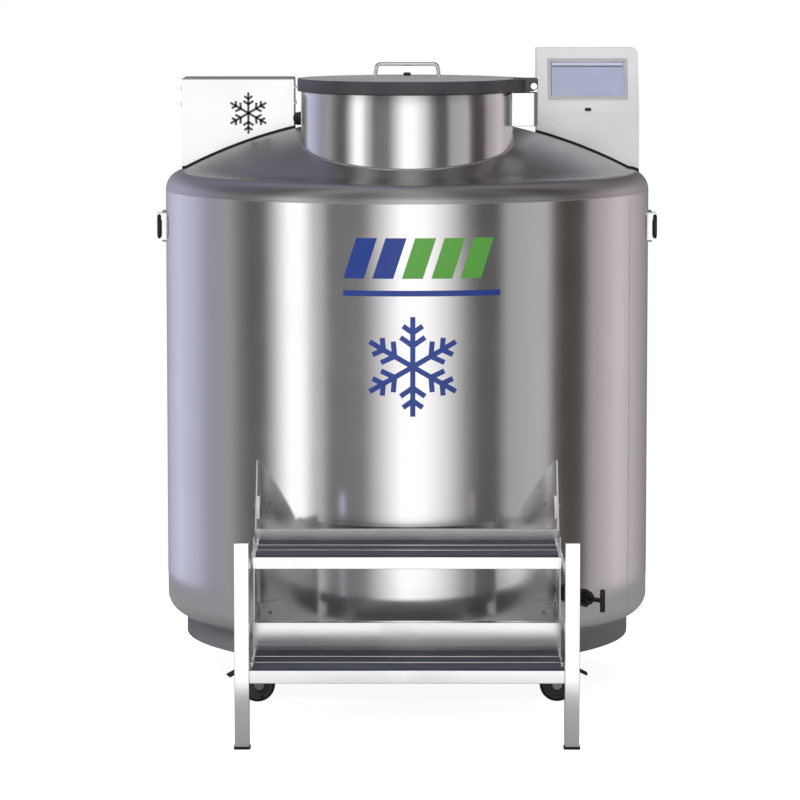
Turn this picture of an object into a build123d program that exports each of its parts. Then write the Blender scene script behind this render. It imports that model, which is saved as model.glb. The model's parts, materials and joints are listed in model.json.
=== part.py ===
from build123d import *
import math
import os

# Wide-neck liquid nitrogen storage dewar on casters, with a fixed two-step ladder at the front.
# Millimetres. The origin is where the vessel's axis meets the floor. +Z is up, -Y is the front
# and +X is the right-hand side of someone who stands on the ladder and faces the vessel.

os.makedirs("parts", exist_ok=True)

# ---------------------------------------------------------------- driving dimensions

# Vacuum jacket: radius, wall, bottom height, height of the weld between shell and top head,
# corner radius, and how many shell radii make the radius of the head's crown.
shell_radius = 533.5
shell_wall = 3.0
shell_bottom = 150.0
shell_seam = 1087.0
shell_knuckle = 42.0
crown_ratio = 2.0

# Inner storage vessel, placed by the vacuum spaces round it.
vacuum_gap = 48.5
vessel_wall = 3.0
vessel_above_bottom = 55.0
vessel_seam_below = 47.0
vessel_knuckle = 40.0
vessel_crown_less = 107.0
insulation_thickness = 12.0
support_radius = 90.0
support_wall = 12.0

# Neck, set towards the front of the dome.
neck_forward = 215.0
neck_radius = 229.0
neck_wall = 2.0
neck_top = 1320.0
neck_flange_thickness = 3.0
bore_gap = 29.0
bore_wall = 2.0

# Lid.
lid_seal_thickness = 2.5
lid_seal_width = 16.0
lid_skirt_depth = 9.0
lid_skirt_wall = 4.5
lid_skirt_gap = 3.0
lid_web = 5.5
lid_lip = 9.5
lid_crown_rise = 5.5
lid_cover_gap = 0.5
plug_depth = 180.0
plug_top_gap = 10.0
plug_bottom_gap = 42.0
plug_round = 6.0
handle_rod = 4.0
handle_span = 134.0
handle_splay = 2.0
handle_height = 29.0
handle_corner = 9.0
handle_foot_radius = 8.8
handle_foot_height = 3.5
handle_sunk = 2.0
vent_cap_radius = 8.0
vent_cap_height = 7.0
vent_cap_round = 2.0
lid_edge_round = 1.5

# Lid hinge, on the right of the neck.
hinge_reach = 43.0
hinge_drop = 2.0
hinge_pin_radius = 5.0
hinge_pin_head = 7.5
hinge_cheek_radius = 9.0
hinge_cheek_width = 14.5
hinge_ear_radius = 9.0
hinge_ear_length = 60.0
hinge_side_gap = 0.5
hinge_block_depth = 72.0
hinge_block_gap = 3.0
hinge_block_chamfer = 8.0
hinge_slot_behind = 14.0
hinge_pin_overhang = 3.0
tongue_spread = 43.0
tongue_cap = 3.0

# Carousel that turns inside the vessel.
deck_height = 300.0
deck_thickness = 5.0
deck_gap = 6.0
deck_hole_radius = 32.0
deck_hole_circle = 300.0
deck_hole_count = 8
deck_leg_radius = 18.0
deck_leg_inset = 55.0
deck_leg_count = 6
pivot_radius = 20.0
pivot_flange_radius = 60.0
pivot_flange_height = 8.0
pivot_length = 30.0
hub_radius = 45.0
hub_cover = 2.0
tray_gap = 30.0
tray_thickness = 4.0
tray_lip = 20.0
tray_above_hub = 17.0
post_radius = 30.0
post_height = 560.0
post_round = 12.0
pivot_chamfer = 2.0
divider_count = 6
divider_start = 30.0
divider_height = 480.0
divider_thickness = 3.0
divider_edge_gap = 8.0

# Base ring and casters.
base_bottom = 101.0
base_wall = 5.0
base_plate_thickness = 6.0
base_plate_opening = 300.0
caster_x = 296.0
caster_y = 340.0
caster_plate_radius = 39.0
caster_plate_thickness = 4.0
caster_boss_radius = 22.0
caster_boss_height = 7.0
kingpin_radius = 6.0
kingpin_length = 5.5
fork_crown_radius = 25.0
fork_crown_thickness = 4.5
fork_cheek = 3.0
wheel_radius = 37.5
wheel_width = 28.0
wheel_side_gap = 2.0
wheel_edge_round = 6.0
wheel_hub_radius = 13.0
wheel_dish_radius = 26.0
wheel_dish_depth = 5.0
axle_radius = 5.0
axle_head_radius = 8.0
axle_head_height = 4.0
axle_eye = 2.5
crown_cheek_share = 0.8
caster_trail = 28.0
pedal_pivot_ahead = 20.0
pedal_pivot_height = 80.0
pedal_pin_radius = 3.0
pedal_barrel_radius = 6.0
pedal_length = 50.0
pedal_thickness = 4.0
pedal_slope = 26.0
pedal_side_gap = 1.0
pedal_pin_overhang = 1.5
# Rest direction of each caster's trail, in degrees from +X.
caster_turns = {
    "front_left": 195.0,
    "front_right": 0.0,
    "rear_left": 155.0,
    "rear_right": 30.0,
}
braked_casters = ("front_left", "front_right")

# Plumbing box (left) and controller (right), both standing on the dome.
housing_wall = 2.0
housing_corner = 4.0
gasket_thickness = 6.0
gasket_width = 9.0
plumbing_left = -500.0
plumbing_width = 249.0
plumbing_front = 30.0
plumbing_depth = 140.0
plumbing_top = 1329.0
control_left = 288.0
control_width = 227.0
control_front = 30.0
control_depth = 120.0
control_top = 1395.0
control_crease = 1249.0
control_lean = 72.0
control_corner = 14.0
control_wall_extra = 4.7
screen_width = 166.0
screen_height = 88.0
screen_above_crease = 86.0
screen_thickness = 3.0
screen_recess = 0.5
bezel_width = 6.0
bezel_overlap = 2.0
bezel_thickness = 1.5
port_width = 14.0
port_height = 7.0
port_depth = 6.0
port_above_crease = 12.0
port_round = 1.5
housing_screw_radius = 4.0
housing_screw_height = 3.0
housing_screw_inset = 24.0
housing_screw_chamfer = 0.8
housing_screw_below = 22.0
housing_screw_raise = 10.0

# Pipework.
inlet_radius = 11.0
inlet_length = 24.0
inlet_hex = 34.0
inlet_hex_height = 14.0
inlet_from_left = 80.0
fitting_height = 1262.0
relief_radius = 12.0
relief_length = 34.0
relief_cap_hex = 30.0
relief_cap_height = 10.0
relief_from_left = 170.0
conduit_radius = 13.0
conduit_start = (-260.0, 52.0, 1237.0)
conduit_rise = 26.0
sensor_radius = 4.5
sensor_height = 1246.0
sensor_from_front = 45.0
sensor_stand_off = 30.0
sensor_forward = 20.0
sensor_bend = 16.0
sensor_sunk = 5.0
fill_radius = 6.0
fill_outset = 23.0
fill_angle = 162.4
fill_top = 1150.0
fill_bottom = 260.0
fill_bend = 9.0
fill_reach_in = 15.0

# Vacuum valve with its T-handle, and the pump-out port at the back.
valve_angle = 41.8
valve_height = 238.0
valve_flange_radius = 22.0
valve_flange_depth = 8.0
valve_body_radius = 13.0
valve_body_depth = 52.0
valve_nut_hex = 34.0
valve_nut_start = 28.0
valve_nut_height = 14.0
valve_stem_radius = 5.0
valve_stem_sunk = 22.0
valve_stem_out = 38.0
valve_bore_relief = 1.0
valve_bar_round = 2.5
valve_bar_radius = 5.5
valve_bar_length = 49.0
vacuum_port_height = 320.0
vacuum_port_radius = 30.0
vacuum_port_depth = 10.0
vacuum_cap_radius = 21.0
vacuum_cap_height = 20.0
vacuum_cap_round = 3.0

# Lifting rings.
lift_height = 1026.0
lift_pad_width = 60.0
lift_pad_height = 68.0
lift_pad_drop = 12.0
lift_pad_depth = 8.0
lift_pad_round = 6.0
lift_lug_width = 20.0
lift_lug_height = 16.0
ring_rod = 4.0
ring_width = 44.0
ring_height = 46.0
ring_corner = 12.0
ring_joint = 1.0
ring_out = 7.5

# Ladder. Its distances out are counted from the shell's side.
leg_size = 30.0
leg_wall = 2.0
leg_top = 423.5
leg_inner = 320.0
leg_out = 346.5
pad_size = 34.0
pad_height = 5.0
pad_round = 3.0
plate_thickness = 3.0
plate_out = 106.5
plate_bottom = 127.0
plate_top = 400.0
plate_bend_out = 6.5
plate_peak = 535.0
plate_shell_gap = 6.0
tread_wall = 2.5
upper_tread_out = 226.5
upper_tread_depth = 215.0
upper_tread_top = 377.0
upper_fascia = 25.0
upper_back_lip = 28.0
lower_tread_out = 346.5
lower_tread_depth = 215.0
lower_tread_top = 163.0
lower_fascia = 27.0
lower_riser = 37.5
lower_bar_height = 25.0
lower_bar_depth = 20.0
strip_height = 3.0
strip_count = 3
rib_width = 5.0
rib_height = 4.0
strip_margin = 6.0
rail_thickness = 12.0
rail_height = 25.0
rail_overlap = 70.0
bolt_radius = 4.0
bolt_head = 8.0
bolt_head_height = 5.0
tab_width = 44.0
tab_height = 50.0
tab_thickness = 5.0
tab_sunk = 40.0
tab_levels = (205.0, 440.0)

# Fits.
running_clearance = 0.05
thrust_clearance = 0.3

# ---------------------------------------------------------------- worked-out sizes

shell_crown = crown_ratio * shell_radius
vessel_radius = shell_radius - vacuum_gap
vessel_bottom = shell_bottom + vessel_above_bottom
vessel_seam = shell_seam - vessel_seam_below
vessel_crown = shell_crown - vessel_crown_less
tray_radius = vessel_radius - tray_gap
deck_leg_circle = vessel_radius - deck_leg_inset
fill_circle = vessel_radius + fill_outset
fill_reach = vessel_radius - fill_reach_in
leg_front = shell_radius + leg_out
plate_front = shell_radius + plate_out
plate_bend = shell_radius + plate_bend_out
upper_tread_front = shell_radius + upper_tread_out
lower_tread_front = shell_radius + lower_tread_out

jacket = {
    "radius": shell_radius,
    "bottom": shell_bottom,
    "seam": shell_seam,
    "knuckle": shell_knuckle,
    "crown": shell_crown,
}
storage = {
    "radius": vessel_radius,
    "bottom": vessel_bottom,
    "seam": vessel_seam,
    "knuckle": vessel_knuckle,
    "crown": vessel_crown,
}
neck_spot = (0, -neck_forward)
sleeve_top = neck_top - neck_flange_thickness
bore_radius = neck_radius - bore_gap
base_radius = shell_radius - shell_knuckle
lid_web_bottom = neck_top + lid_seal_thickness
lid_web_top = lid_web_bottom + lid_web
lid_skirt_bottom = neck_top - lid_skirt_depth
lid_rim_top = lid_web_top + lid_lip
lid_inner_radius = neck_radius + lid_skirt_gap
lid_radius = lid_inner_radius + lid_skirt_wall
cover_radius = lid_inner_radius - lid_cover_gap
cover_top = lid_rim_top + lid_crown_rise
hinge_x = neck_radius + hinge_reach
hinge_z = neck_top + hinge_drop
hinge_block_top = lid_skirt_bottom - hinge_block_gap
hinge_half_width = hinge_ear_length / 2 + hinge_side_gap + hinge_cheek_width
deck_top = deck_height + deck_thickness
pivot_base_top = deck_top + pivot_flange_height
hub_bottom = pivot_base_top + thrust_clearance
hub_top = hub_bottom + pivot_length + hub_cover
tray_bottom = hub_bottom + tray_above_hub
tray_top = tray_bottom + tray_thickness
fork_top = base_bottom - caster_plate_thickness - caster_boss_height - thrust_clearance
fork_inner = wheel_width / 2 + wheel_side_gap
plumbing_back = plumbing_front + plumbing_depth
tread_half_width = leg_inner - plate_thickness
leg_centre_x = leg_inner + leg_size / 2
leg_centre_y = -leg_front + leg_size / 2
plate_rear = math.sqrt(shell_radius**2 - leg_inner**2) + plate_shell_gap


# ---------------------------------------------------------------- shared shapes

def crown_centre(radius, seam, knuckle, crown):
    """Height of the centre of a head's crown sphere, which ends where its shoulder is level."""
    return seam + knuckle - math.sqrt(crown**2 - (radius - knuckle) ** 2)


def crease_point(radius, seam, knuckle, crown, inset):
    """Radius and height where the crown sphere meets the shoulder, both moved in by inset."""
    centre = crown_centre(radius, seam, knuckle, crown)
    across = radius - knuckle
    up = seam - centre
    apart = math.hypot(across, up)
    along = ((crown - inset) ** 2 - (knuckle - inset) ** 2 + apart**2) / (2 * apart)
    aside = math.sqrt((crown - inset) ** 2 - along**2)
    return (across * along - up * aside) / apart, centre + (up * along + across * aside) / apart


def envelope(radius, bottom, seam, knuckle, crown, inset=0.0):
    """Solid inside a round vessel's surface, moved in by inset: flat base, dished and creased top."""
    corner = radius - knuckle
    centre = crown_centre(radius, seam, knuckle, crown)
    crease = crease_point(radius, seam, knuckle, crown, inset)
    shoulder_turn = math.degrees(math.atan2(crease[1] - seam, crease[0] - corner))
    crown_start = math.degrees(math.atan2(crease[1] - centre, crease[0]))
    low = bottom + inset
    with BuildPart() as solid:
        with BuildSketch(Plane.XZ):
            with BuildLine():
                Line((0, low), (corner, low))
                CenterArc((corner, bottom + knuckle), knuckle - inset, -90, 90)
                Line((radius - inset, bottom + knuckle), (radius - inset, seam))
                CenterArc((corner, seam), knuckle - inset, 0, shoulder_turn)
                CenterArc((0, centre), crown - inset, crown_start, 90 - crown_start)
                Line((0, centre + crown - inset), (0, low))
            make_face()
        revolve(axis=Axis.Z)
    return solid.part


def dome_height(distance):
    """Height of the outside of the jacket's crown at a distance from the vessel's axis."""
    centre = crown_centre(shell_radius, shell_seam, shell_knuckle, shell_crown)
    return centre + math.sqrt(shell_crown**2 - distance**2)


def save(part, name):
    """Labels a finished sub-part and writes its file."""
    part.label = name
    export_step(part, f"parts/{name}.step")


apex = dome_height(0)

# ---------------------------------------------------------------- fill line's run, used by its holes

fill_foot = (
    fill_circle * math.cos(math.radians(fill_angle)),
    fill_circle * math.sin(math.radians(fill_angle)),
)
fill_inward = Vector(-fill_foot[0], -fill_foot[1]).normalized()
fill_end = Vector(*fill_foot, fill_bottom) + fill_inward * (fill_circle - fill_reach)
fill_side_plane = Plane(origin=(*fill_foot, fill_bottom), z_dir=fill_inward)

# ---------------------------------------------------------------- vacuum jacket

valve_out = Vector(math.sin(math.radians(valve_angle)), -math.cos(math.radians(valve_angle)), 0)
valve_foot = valve_out * shell_radius + Vector(0, 0, valve_height)
valve_plane = Plane(origin=valve_foot, x_dir=(0, 0, 1), z_dir=valve_out)

with BuildPart() as outer_shell:
    add(envelope(**jacket))
    add(envelope(**jacket, inset=shell_wall), mode=Mode.SUBTRACT)
    split(bisect_by=Plane.XY.offset(shell_seam), keep=Keep.BOTTOM)
save(outer_shell.part, "outer_shell")

with BuildPart() as top_head:
    add(envelope(**jacket))
    add(envelope(**jacket, inset=shell_wall), mode=Mode.SUBTRACT)
    split(bisect_by=Plane.XY.offset(shell_seam), keep=Keep.TOP)
    with BuildSketch(Plane.XY.offset(shell_seam)):
        with Locations(neck_spot):
            Circle(neck_radius - neck_wall)
        with Locations(fill_foot):
            Circle(fill_radius)
    extrude(amount=neck_top - shell_seam, mode=Mode.SUBTRACT)
save(top_head.part, "top_head")

# The collar is spun inwards at its top to meet the neck tube.
with BuildPart() as neck_sleeve:
    with BuildSketch(Plane.XY.offset(shell_seam)):
        with Locations(neck_spot):
            Circle(neck_radius)
            Circle(neck_radius - neck_wall, mode=Mode.SUBTRACT)
    extrude(amount=sleeve_top - shell_seam)
    add(envelope(**jacket), mode=Mode.SUBTRACT)
    with BuildSketch(Plane.XY.offset(sleeve_top)):
        with Locations(neck_spot):
            Circle(neck_radius)
            Circle(bore_radius, mode=Mode.SUBTRACT)
    extrude(amount=neck_flange_thickness)
save(neck_sleeve.part, "neck_sleeve")

# ---------------------------------------------------------------- storage vessel inside the vacuum

with BuildPart() as neck_tube:
    with BuildSketch(Plane.XY.offset(vessel_seam)):
        with Locations(neck_spot):
            Circle(bore_radius + bore_wall)
            Circle(bore_radius, mode=Mode.SUBTRACT)
    extrude(amount=sleeve_top - vessel_seam)
    add(envelope(**storage), mode=Mode.SUBTRACT)
save(neck_tube.part, "neck_tube")

with BuildPart() as inner_vessel:
    add(envelope(**storage))
    add(envelope(**storage, inset=vessel_wall), mode=Mode.SUBTRACT)
    split(bisect_by=Plane.XY.offset(vessel_seam), keep=Keep.BOTTOM)
    with BuildSketch(fill_side_plane):
        Circle(fill_radius)
    extrude(amount=fill_circle - fill_reach, mode=Mode.SUBTRACT)
save(inner_vessel.part, "inner_vessel")

with BuildPart() as inner_head:
    add(envelope(**storage))
    add(envelope(**storage, inset=vessel_wall), mode=Mode.SUBTRACT)
    split(bisect_by=Plane.XY.offset(vessel_seam), keep=Keep.TOP)
    with BuildSketch(Plane.XY.offset(vessel_seam)):
        with Locations(neck_spot):
            Circle(bore_radius)
    extrude(amount=neck_top - vessel_seam, mode=Mode.SUBTRACT)
save(inner_head.part, "inner_head")

with BuildPart() as insulation_wrap:
    add(envelope(**storage, inset=-insulation_thickness))
    add(envelope(**storage), mode=Mode.SUBTRACT)
    with BuildSketch(Plane.XY.offset(vessel_seam)):
        with Locations(neck_spot):
            Circle(bore_radius + bore_wall)
    extrude(amount=neck_top - vessel_seam, mode=Mode.SUBTRACT)
    with BuildSketch(Plane.XY.offset(shell_bottom)):
        Circle(support_radius)
    extrude(amount=vessel_bottom - shell_bottom, mode=Mode.SUBTRACT)
    with BuildSketch(fill_side_plane):
        Circle(fill_radius)
    extrude(amount=fill_circle - fill_reach, mode=Mode.SUBTRACT)
save(insulation_wrap.part, "insulation_wrap")

# A low-conduction ring carries the storage vessel's weight.
with BuildPart() as bottom_support:
    with BuildSketch(Plane.XY.offset(shell_bottom + shell_wall)):
        Circle(support_radius)
        Circle(support_radius - support_wall, mode=Mode.SUBTRACT)
    extrude(amount=vessel_bottom - shell_bottom - shell_wall)
save(bottom_support.part, "bottom_support")

with BuildPart() as fill_tube:
    with BuildLine() as fill_path:
        FilletPolyline(
            (*fill_foot, fill_top), (*fill_foot, fill_bottom), tuple(fill_end), radius=fill_bend
        )
    with BuildSketch(Plane(origin=fill_path.line @ 0, z_dir=fill_path.line % 0)):
        Circle(fill_radius)
        Circle(fill_radius - bore_wall, mode=Mode.SUBTRACT)
    sweep()
save(fill_tube.part, "fill_tube")

# ---------------------------------------------------------------- carousel and what it turns on

with BuildPart() as reservoir_deck:
    with BuildSketch(Plane.XY.offset(deck_height)):
        Circle(vessel_radius - vessel_wall - deck_gap)
        with PolarLocations(deck_hole_circle, deck_hole_count):
            Circle(deck_hole_radius, mode=Mode.SUBTRACT)
    extrude(amount=deck_thickness)
    with BuildSketch(Plane.XY.offset(vessel_bottom + vessel_wall)):
        with PolarLocations(deck_leg_circle, deck_leg_count, start_angle=divider_start):
            Circle(deck_leg_radius)
    extrude(amount=deck_height - vessel_bottom - vessel_wall)
save(reservoir_deck.part, "reservoir_deck")

with BuildPart() as carousel_pivot:
    with BuildSketch(Plane.XY.offset(deck_top)):
        Circle(pivot_flange_radius)
    extrude(amount=pivot_flange_height)
    with BuildSketch(Plane.XY.offset(pivot_base_top)):
        Circle(pivot_radius)
    extrude(amount=pivot_length)
    chamfer(carousel_pivot.edges().group_by(Axis.Z)[-1], pivot_chamfer)
save(carousel_pivot.part, "carousel_pivot")

with BuildPart() as carousel_tray:
    with BuildSketch(Plane.XY.offset(tray_bottom)):
        Circle(tray_radius)
    extrude(amount=tray_thickness)
    with BuildSketch(Plane.XY.offset(tray_bottom)):
        Circle(tray_radius)
        Circle(tray_radius - tray_thickness, mode=Mode.SUBTRACT)
    extrude(amount=tray_lip)
    with BuildSketch(Plane.XY.offset(hub_bottom)):
        Circle(hub_radius)
    extrude(amount=hub_top - hub_bottom)
    with BuildSketch(Plane.XY.offset(hub_bottom)):
        Circle(pivot_radius + running_clearance)
    extrude(amount=hub_top - hub_bottom, mode=Mode.SUBTRACT)
save(carousel_tray.part, "carousel_tray")

with BuildPart() as carousel_post:
    with BuildSketch(Plane.XY.offset(hub_top)):
        Circle(post_radius)
    extrude(amount=post_height)
    fillet(carousel_post.edges().group_by(Axis.Z)[-1], post_round)
save(carousel_post.part, "carousel_post")

divider_reach = tray_radius - tray_thickness - divider_edge_gap
with BuildPart() as carousel_dividers:
    with BuildSketch(Plane.XY.offset(tray_top)):
        with PolarLocations(0, divider_count, start_angle=divider_start):
            with Locations(((hub_radius + divider_reach) / 2, 0)):
                Rectangle(divider_reach - hub_radius, divider_thickness)
    extrude(amount=divider_height)
    with BuildSketch(Plane.XY.offset(hub_top)):
        with PolarLocations(0, divider_count, start_angle=divider_start):
            with Locations(((post_radius + hub_radius) / 2, 0)):
                Rectangle(hub_radius - post_radius, divider_thickness)
    extrude(amount=tray_top + divider_height - hub_top)
    with BuildSketch(Plane.XY.offset(hub_top)):
        Circle(post_radius)
    extrude(amount=post_height, mode=Mode.SUBTRACT)
save(carousel_dividers.part, "carousel_dividers")

# ---------------------------------------------------------------- lid

# The rim carries a tapered tongue over the hinge; its two cheeks turn on the pin.
with BuildPart() as lid_rim:
    tongue_x = lid_radius * math.cos(math.radians(tongue_spread))
    tongue_y = lid_radius * math.sin(math.radians(tongue_spread))
    with BuildSketch(Plane.XY.offset(lid_skirt_bottom)):
        with Locations(neck_spot):
            Circle(lid_radius)
            Polygon(
                (tongue_x, -tongue_y),
                (hinge_x - 2 * hinge_cheek_radius, -hinge_half_width),
                (hinge_x, -hinge_half_width),
                (hinge_x, hinge_half_width),
                (hinge_x - 2 * hinge_cheek_radius, hinge_half_width),
                (tongue_x, tongue_y),
                align=None,
            )
            Circle(lid_inner_radius, mode=Mode.SUBTRACT)
    extrude(amount=lid_rim_top - lid_skirt_bottom)
    with BuildSketch(Plane.XZ.offset(neck_forward)):
        with Locations((hinge_x, hinge_z)):
            Circle(hinge_cheek_radius)
        with Locations((hinge_x + hinge_cheek_radius / 2, (hinge_z + lid_rim_top) / 2)):
            Rectangle(hinge_cheek_radius, lid_rim_top - hinge_z)
    extrude(amount=hinge_half_width, both=True)
    fillet(lid_rim.faces().sort_by(Axis.Z)[-1].outer_wire().edges(), lid_edge_round)
    with BuildSketch(Plane.XY.offset(lid_web_bottom)):
        with Locations(neck_spot):
            Circle(lid_radius - lid_skirt_wall / 2)
    extrude(amount=lid_web)
    with BuildSketch(Plane.XY.offset(lid_skirt_bottom)):
        with Locations((hinge_x + hinge_slot_behind, -neck_forward)):
            Rectangle(4 * hinge_slot_behind, hinge_ear_length + 2 * hinge_side_gap)
    extrude(amount=lid_rim_top - tongue_cap - lid_skirt_bottom, mode=Mode.SUBTRACT)
    with BuildSketch(Plane.XZ.offset(neck_forward)):
        with Locations((hinge_x, hinge_z)):
            Circle(hinge_pin_radius + running_clearance)
    extrude(amount=hinge_half_width, both=True, mode=Mode.SUBTRACT)
save(lid_rim.part, "lid_rim")

with BuildPart() as lid_cover:
    sphere = (cover_radius**2 + lid_crown_rise**2) / (2 * lid_crown_rise)
    sweep_angle = math.degrees(math.asin(cover_radius / sphere))
    with BuildSketch(Plane.XZ):
        with BuildLine():
            Line((0, lid_web_top), (cover_radius, lid_web_top))
            Line((cover_radius, lid_web_top), (cover_radius, cover_top - lid_crown_rise))
            CenterArc((0, cover_top - sphere), sphere, 90 - sweep_angle, sweep_angle)
            Line((0, cover_top), (0, lid_web_top))
        make_face()
    revolve(axis=Axis.Z)
save(Pos(0, -neck_forward, 0) * lid_cover.part, "lid_cover")

with BuildPart() as lid_seal:
    with BuildSketch(Plane.XY.offset(neck_top)):
        with Locations(neck_spot):
            Circle(neck_radius - neck_wall)
            Circle(neck_radius - neck_wall - lid_seal_width, mode=Mode.SUBTRACT)
    extrude(amount=lid_seal_thickness)
save(lid_seal.part, "lid_seal")

# The plug tapers so that it swings clear of the bore as the lid opens.
with BuildPart() as lid_plug:
    with BuildSketch(Plane.XY.offset(lid_web_bottom)):
        with Locations(neck_spot):
            Circle(bore_radius - plug_top_gap)
    with BuildSketch(Plane.XY.offset(lid_web_bottom - plug_depth)):
        with Locations(neck_spot):
            Circle(bore_radius - plug_bottom_gap)
    loft()
    fillet(lid_plug.edges().group_by(Axis.Z)[0], plug_round)
save(lid_plug.part, "lid_plug")

with BuildPart() as lid_handle:
    handle_foot = cover_top - handle_sunk
    handle_peak = cover_top + handle_height - handle_rod
    with BuildLine() as handle_path:
        FilletPolyline(
            (-handle_span / 2 - handle_splay, -neck_forward, handle_foot),
            (-handle_span / 2 + handle_splay, -neck_forward, handle_peak),
            (handle_span / 2 - handle_splay, -neck_forward, handle_peak),
            (handle_span / 2 + handle_splay, -neck_forward, handle_foot),
            radius=handle_corner,
        )
    with BuildSketch(Plane(origin=handle_path.line @ 0, z_dir=handle_path.line % 0)):
        Circle(handle_rod)
    sweep()
    for side in (-1, 1):
        with BuildSketch(Plane.XY.offset(handle_foot)):
            with Locations((side * (handle_span / 2 + handle_splay), -neck_forward)):
                Circle(handle_foot_radius)
        extrude(amount=handle_foot_height)
    add(Pos(0, -neck_forward, 0) * lid_cover.part, mode=Mode.SUBTRACT)
save(lid_handle.part, "lid_handle")

with BuildPart() as lid_vent_cap:
    with BuildSketch(Plane.XY.offset(cover_top)):
        with Locations(neck_spot):
            Circle(vent_cap_radius)
    extrude(amount=vent_cap_height)
    fillet(lid_vent_cap.edges().group_by(Axis.Z)[-1], vent_cap_round)
save(lid_vent_cap.part, "lid_vent_cap")

# The hinge bracket's ear holds the pin between the cheeks of the lid's tongue.
with BuildPart() as hinge_bracket:
    hinge_outer = hinge_x + hinge_ear_radius
    with BuildSketch(Plane.XZ.offset(neck_forward)):
        with Locations(((neck_radius / 2 + hinge_outer) / 2, hinge_block_top - hinge_block_depth / 2)):
            Rectangle(hinge_outer - neck_radius / 2, hinge_block_depth)
    extrude(amount=hinge_half_width, both=True)
    chamfer(hinge_bracket.edges().filter_by(Axis.Z).group_by(Axis.X)[-1], hinge_block_chamfer)
    with BuildSketch(Plane.XZ.offset(neck_forward)):
        with Locations((hinge_x, (hinge_z + hinge_block_top) / 2)):
            Rectangle(2 * hinge_ear_radius, hinge_z - hinge_block_top)
        with Locations((hinge_x, hinge_z)):
            Circle(hinge_ear_radius)
    extrude(amount=hinge_ear_length / 2, both=True)
    with BuildSketch(Plane.XZ.offset(neck_forward)):
        with Locations((hinge_x, hinge_z)):
            Circle(hinge_pin_radius)
    extrude(amount=hinge_half_width, both=True, mode=Mode.SUBTRACT)
    with BuildSketch(Plane.XY.offset(shell_seam)):
        with Locations(neck_spot):
            Circle(neck_radius)
    extrude(amount=neck_top - shell_seam, mode=Mode.SUBTRACT)
save(hinge_bracket.part, "hinge_bracket")

with BuildPart() as hinge_pin:
    with BuildSketch(Plane.XZ.offset(neck_forward)):
        with Locations((hinge_x, hinge_z)):
            Circle(hinge_pin_radius)
    extrude(amount=hinge_half_width + hinge_pin_overhang, both=True)
    with BuildSketch(Plane.XZ.offset(neck_forward + hinge_half_width + thrust_clearance)):
        with Locations((hinge_x, hinge_z)):
            Circle(hinge_pin_head)
    extrude(amount=hinge_pin_overhang)
save(hinge_pin.part, "hinge_pin")

# ---------------------------------------------------------------- housings on the dome

def stood_on_dome(block, lift):
    """The part of a block that is above the jacket's surface by at least lift."""
    with BuildPart() as standing:
        add(block)
        add(envelope(**jacket, inset=-lift), mode=Mode.SUBTRACT)
    return standing.part


def gasket_ring(left, width, front, depth):
    """Soft strip between a housing's lower edge and the dome."""
    with BuildPart() as strip:
        with BuildSketch(Plane.XY.offset(shell_seam)):
            with Locations((left + width / 2, front + depth / 2)):
                Rectangle(width, depth)
                Rectangle(width - 2 * gasket_width, depth - 2 * gasket_width, mode=Mode.SUBTRACT)
        extrude(amount=apex + gasket_thickness - shell_seam)
        add(envelope(**jacket, inset=-gasket_thickness), mode=Mode.INTERSECT)
        add(envelope(**jacket), mode=Mode.SUBTRACT)
    return strip.part


with BuildPart() as plumbing_block:
    with BuildSketch(Plane.XY.offset(shell_seam)):
        with Locations((plumbing_left + plumbing_width / 2, plumbing_front + plumbing_depth / 2)):
            Rectangle(plumbing_width, plumbing_depth)
    extrude(amount=plumbing_top - shell_seam)
    fillet(plumbing_block.edges().group_by(Axis.Z)[-1], housing_corner)
    with BuildSketch(Plane.XY.offset(shell_seam)):
        with Locations((plumbing_left + plumbing_width / 2, plumbing_front + plumbing_depth / 2)):
            Rectangle(plumbing_width - 2 * housing_wall, plumbing_depth - 2 * housing_wall)
    extrude(amount=plumbing_top - housing_wall - shell_seam, mode=Mode.SUBTRACT)
save(stood_on_dome(plumbing_block.part, gasket_thickness), "plumbing_box")

slope_up = Vector(0, control_lean, control_top - control_crease).normalized()
slope_out = Vector(0, -slope_up.Z, slope_up.Y)
control_middle = control_left + control_width / 2


def slope_plane(up, out):
    """Plane on the controller's leaning face, up the slope from the crease and out from the face."""
    origin = Vector(control_middle, control_front, control_crease) + slope_up * up + slope_out * out
    return Plane(origin=origin, x_dir=(1, 0, 0), z_dir=slope_out)


def control_profile(inset):
    """Side outline of the controller, moved in by inset on every side but its foot."""
    lean_top = control_front + control_lean + inset * (1 - slope_up.Y) / slope_up.Z
    lean_foot = control_front + inset
    back = control_front + control_depth - inset
    crease = control_crease + inset * (1 - slope_up.Z) / slope_up.Y
    Polygon(
        (lean_foot, shell_seam),
        (back, shell_seam),
        (back, control_top - inset),
        (lean_top, control_top - inset),
        (lean_foot, crease),
        align=None,
    )


with BuildPart() as control_block:
    with BuildSketch(Plane.YZ.offset(control_left)):
        control_profile(0)
    extrude(amount=control_width)
    right_edges = control_block.faces().sort_by(Axis.X)[-1].edges().group_by(Axis.Z)[-1]
    fillet(right_edges.filter_by(Axis.Y), control_corner)
    with BuildSketch(Plane.YZ.offset(control_left + housing_wall)):
        control_profile(housing_wall)
    extrude(amount=control_width - 2 * housing_wall - control_wall_extra, mode=Mode.SUBTRACT)
    with BuildSketch(slope_plane(screen_above_crease, 1)):
        Rectangle(screen_width, screen_height)
    extrude(amount=-2 * housing_wall, mode=Mode.SUBTRACT)
    with BuildSketch(slope_plane(port_above_crease, 1)):
        Rectangle(port_width, port_height)
    extrude(amount=-2 * housing_wall, mode=Mode.SUBTRACT)
save(stood_on_dome(control_block.part, gasket_thickness), "controller_housing")

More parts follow.
